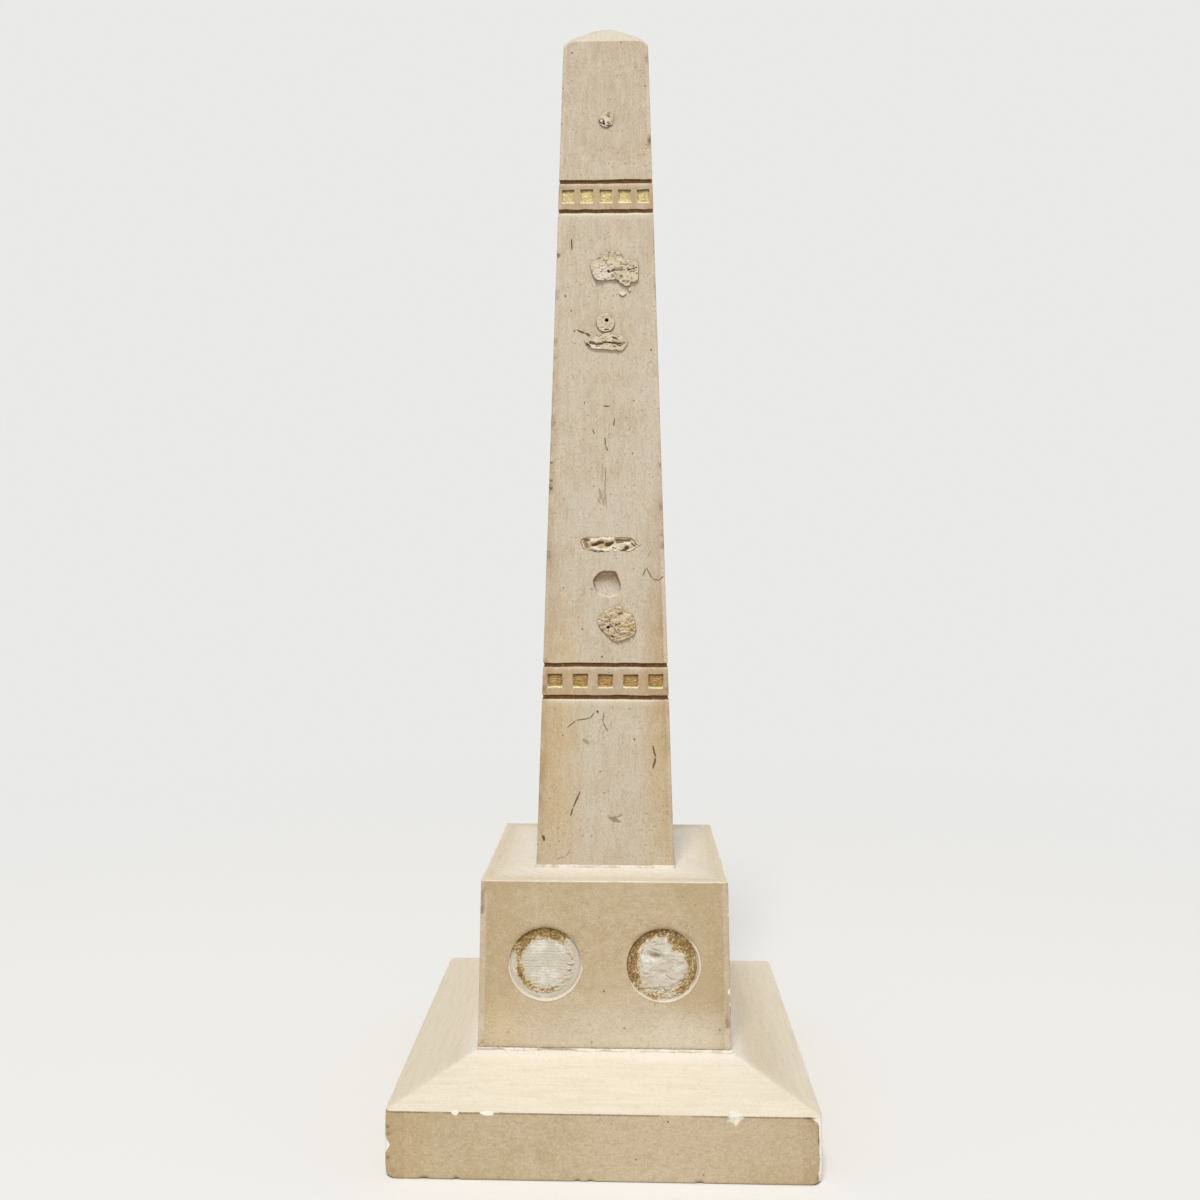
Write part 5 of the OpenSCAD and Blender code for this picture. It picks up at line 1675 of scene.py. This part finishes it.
class OBELISK_OT_residues(bpy.types.Operator):
    """Plaster and glue left where ornaments came off the shaft"""

    bl_idname = "obelisk.residues"
    bl_label = "Residues"
    bl_options = {"REGISTER", "UNDO"}

    def execute(self, context):
        """Builds the six residues."""
        sizes, colours = settings(context)
        cream = residue_finish("cream_residue", colours, colours.residue_cream, colours.shaft_ochre)
        gold = residue_finish("gold_residue", colours, colours.residue_cream, colours.residue_gold)
        rich = residue_finish("feather_residue", colours, colours.ledge_cream, colours.residue_gold)

        def patch(outline, spot, height, columns, rings, white):
            """A patch with a smooth outline."""
            return patch_shell(sizes, smooth_outline(outline), spot, height, columns, rings, white=white)

        spot = patch(SPOT, PEGS["spot"], flaky(0.75, 701, cuts=SPOT_CUTS), 96, 28, (-0.6, 268.9, 2.4))
        petals = flaky(1.2, 711, cuts=FLOWER_CUTS)
        flower = [patch(FLOWER, PEGS["flower"], petals, 220, 60, (0.0, 213.6, 4.4))]
        for crumb, at in ((LARGE_CRUMB, (6.2, 206.3)), (SMALL_CRUMB, (8.8, 207.6))):
            flower.append(patch(crumb, at, flaky(0.95, 716, 4, 1, (), 0.0), 48, 14, (*at, 4)))
        disc_flakes = flaky(0.85, 721, 4, 2, DISC_CUTS, 0.2)
        disc = patch_shell(sizes, circle(DISC_CENTRE, 3.55), PEGS["disc"], disc_flakes, 110, 32)
        bird = patch(BIRD, (0.4, 187.4), flaky(1.0, 731, 2.6, 4, BIRD_CUTS), 200, 56, (-4.0, 186.9, 2.8))
        ropes = patch(ROUND, PEGS["round"], ropey(1.1, 741), 200, 56, (1.0, 85.2, 2.2))
        middle = np.array([1.2, 114.9])
        plume = middle + (smooth_outline(FEATHER, 4) - middle) * [0.985, 0.95]
        floor = -sizes.feather_depth - 0.02
        feather = patch_shell(sizes, plume, middle, feather_height, 240, 64, base=floor)
        pieces = {
            "spot": (spot, cream), "flower": (join(flower), cream), "disc": (disc, cream),
            "bird": (bird, cream), "round": (ropes, gold), "feather": (feather, rich),
        }
        for name, (shell, finish) in pieces.items():
            place(name + "_residue_patch", shell, finish, [name + "_residue"])
        return {"FINISHED"}


def area_light(name, at, aim, size, power, tint):
    """A square soft lamp at a place, turned to a point."""
    data = bpy.data.lights.new(name, "AREA")
    data.shape = "SQUARE"
    data.size = size
    data.energy = power
    data.color = tint
    lamp = bpy.data.objects.new(name, data)
    bpy.context.scene.collection.objects.link(lamp)
    x, y, z = np.array(at) - np.array(aim)
    lamp.location = at
    lamp.rotation_euler = (math.atan2(math.hypot(x, y), z), 0, math.atan2(x, -y))


def pale_world(scene, tint):
    """World that lights softly, and looks as pale as the floor to the camera."""
    scene.world = bpy.data.worlds.new("studio")
    scene.world.use_nodes = True
    tree = scene.world.node_tree
    tree.nodes.clear()
    path = add_node(tree, "LightPath").outputs
    inputs = {0: path["Is Camera Ray"], 1: path["Is Transmission Ray"]}
    seen = add_node(tree, "Math", inputs, operation="MAXIMUM")
    fill = add_node(tree, "Background", {"Color": WORLD_TINT, "Strength": WORLD_STRENGTH})
    view = add_node(tree, "Background", {"Color": tint, "Strength": 1.0})
    inputs = {"Fac": seen.outputs["Value"], 1: fill.outputs["Background"], 2: view.outputs["Background"]}
    add_node(tree, "OutputWorld", {"Surface": add_node(tree, "MixShader", inputs).outputs["Shader"]})


def floor_finish(tint):
    """Pale floor that keeps the object's shadow, and fades to the background's plain tint far away."""
    finish = Finish("studio_floor", tint)
    finish.close(0.9, finish.bump(finish.noise(4, 2.0), 0.01), specular=0.1)
    away = finish.add("VectorMath", {0: finish.where}, operation="LENGTH").outputs["Value"]
    seen = finish.add("LightPath").outputs["Is Camera Ray"]
    glow = finish.add("Emission", {"Color": tint}).outputs["Emission"]
    far = finish.times(finish.span(away, 0.12, 0.75), seen)
    inputs = {"Fac": far, 1: finish.shader.outputs["BSDF"], 2: glow}
    mixed = finish.add("MixShader", inputs).outputs["Shader"]
    put(finish.tree, finish.tree.nodes["Material Output"].inputs["Surface"], mixed)
    return finish.material


def floor_mesh():
    """Flat disc in metres: rings drawn in to a centre point."""
    turn = turns(FLOOR_COLUMNS)
    radii = np.array([6.0, 2.0, 0.9, 0.4, 0.15])[:, None]
    rings = np.stack([radii * np.cos(turn), radii * np.sin(turn), 0 * radii * turn], -1)
    points = np.concatenate([rings.reshape(-1, 3), [[0, 0, 0]]])
    here = np.arange(radii.size * FLOOR_COLUMNS).reshape(-1, FLOOR_COLUMNS)
    beside = np.roll(here, -1, axis=1)
    quads = np.stack([here[:-1], beside[:-1], beside[1:], here[1:]], -1).reshape(-1, 4)
    fan = np.stack([here[-1], beside[-1], np.full(FLOOR_COLUMNS, here.size)], -1)
    mesh = bpy.data.meshes.new("studio_floor")
    mesh.from_pydata(points.tolist(), [], quads.tolist() + fan.tolist())
    return mesh


class OBELISK_OT_stage(bpy.types.Operator):
    """Pale floor, soft light and the camera"""

    bl_idname = "obelisk.stage"
    bl_label = "Stage"
    bl_options = {"REGISTER", "UNDO"}

    def execute(self, context):
        """Builds the floor, world, lamp and camera."""
        scene = bpy.context.scene
        scene.view_settings.view_transform = "Standard"
        tint = settings(context)[1].floor
        mesh = floor_mesh()
        mesh.materials.append(floor_finish(tint))
        floor = bpy.data.objects.new("studio_floor", mesh)
        scene.collection.objects.link(floor)
        pale_world(scene, tint)
        area_light("key_light", KEY_PLACE, KEY_AIM, KEY_SIZE, KEY_POWER, KEY_TINT)
        data = bpy.data.cameras.new("camera")
        data.sensor_width = CAMERA_SENSOR
        data.lens = CAMERA_LENS
        data.shift_x, data.shift_y = CAMERA_SHIFT
        camera = bpy.data.objects.new("camera", data)
        camera.location = CAMERA_PLACE
        camera.rotation_euler = (math.radians(90), 0, math.radians(CAMERA_TURN))
        scene.collection.objects.link(camera)
        scene.camera = camera
        return {"FINISHED"}


PIECES = (
    OBELISK_OT_plinth,
    OBELISK_OT_pedestal,
    OBELISK_OT_shaft,
    OBELISK_OT_beds,
    OBELISK_OT_lines,
    OBELISK_OT_gilding,
    OBELISK_OT_roundels,
    OBELISK_OT_residues,
    OBELISK_OT_stage,
)


class OBELISK_PT_panel(bpy.types.Panel):
    """Panel that lists the pieces, sizes and colours"""

    bl_idname = "OBELISK_PT_panel"
    bl_label = "Obelisk"
    bl_space_type = "VIEW_3D"
    bl_region_type = "UI"
    bl_category = "Obelisk"

    def draw(self, context):
        """Lists the operators, then the sizes and colours."""
        for piece in PIECES:
            self.layout.operator(piece.bl_idname)
        for group in (context.scene.obelisk_sizes, context.scene.obelisk_colours):
            box = self.layout.box()
            for name in group.__annotations__:
                box.prop(group, name)


CLASSES = (ObeliskSizes, ObeliskColours, *PIECES, OBELISK_PT_panel)


def register():
    """Registers the classes and hangs the properties on the scene."""
    for cls in CLASSES:
        bpy.utils.register_class(cls)
    bpy.types.Scene.obelisk_sizes = PointerProperty(type=ObeliskSizes)
    bpy.types.Scene.obelisk_colours = PointerProperty(type=ObeliskColours)


def unregister():
    """Takes the properties off the scene and unregisters the classes."""
    del bpy.types.Scene.obelisk_colours
    del bpy.types.Scene.obelisk_sizes
    for cls in reversed(CLASSES):
        bpy.utils.unregister_class(cls)


def main():
    register()
    bpy.ops.obelisk.plinth()
    bpy.ops.obelisk.pedestal()
    bpy.ops.obelisk.shaft()
    bpy.ops.obelisk.beds()
    bpy.ops.obelisk.lines()
    bpy.ops.obelisk.gilding()
    bpy.ops.obelisk.roundels()
    bpy.ops.obelisk.residues()
    bpy.ops.obelisk.stage()


if __name__ == "__main__":
    main()
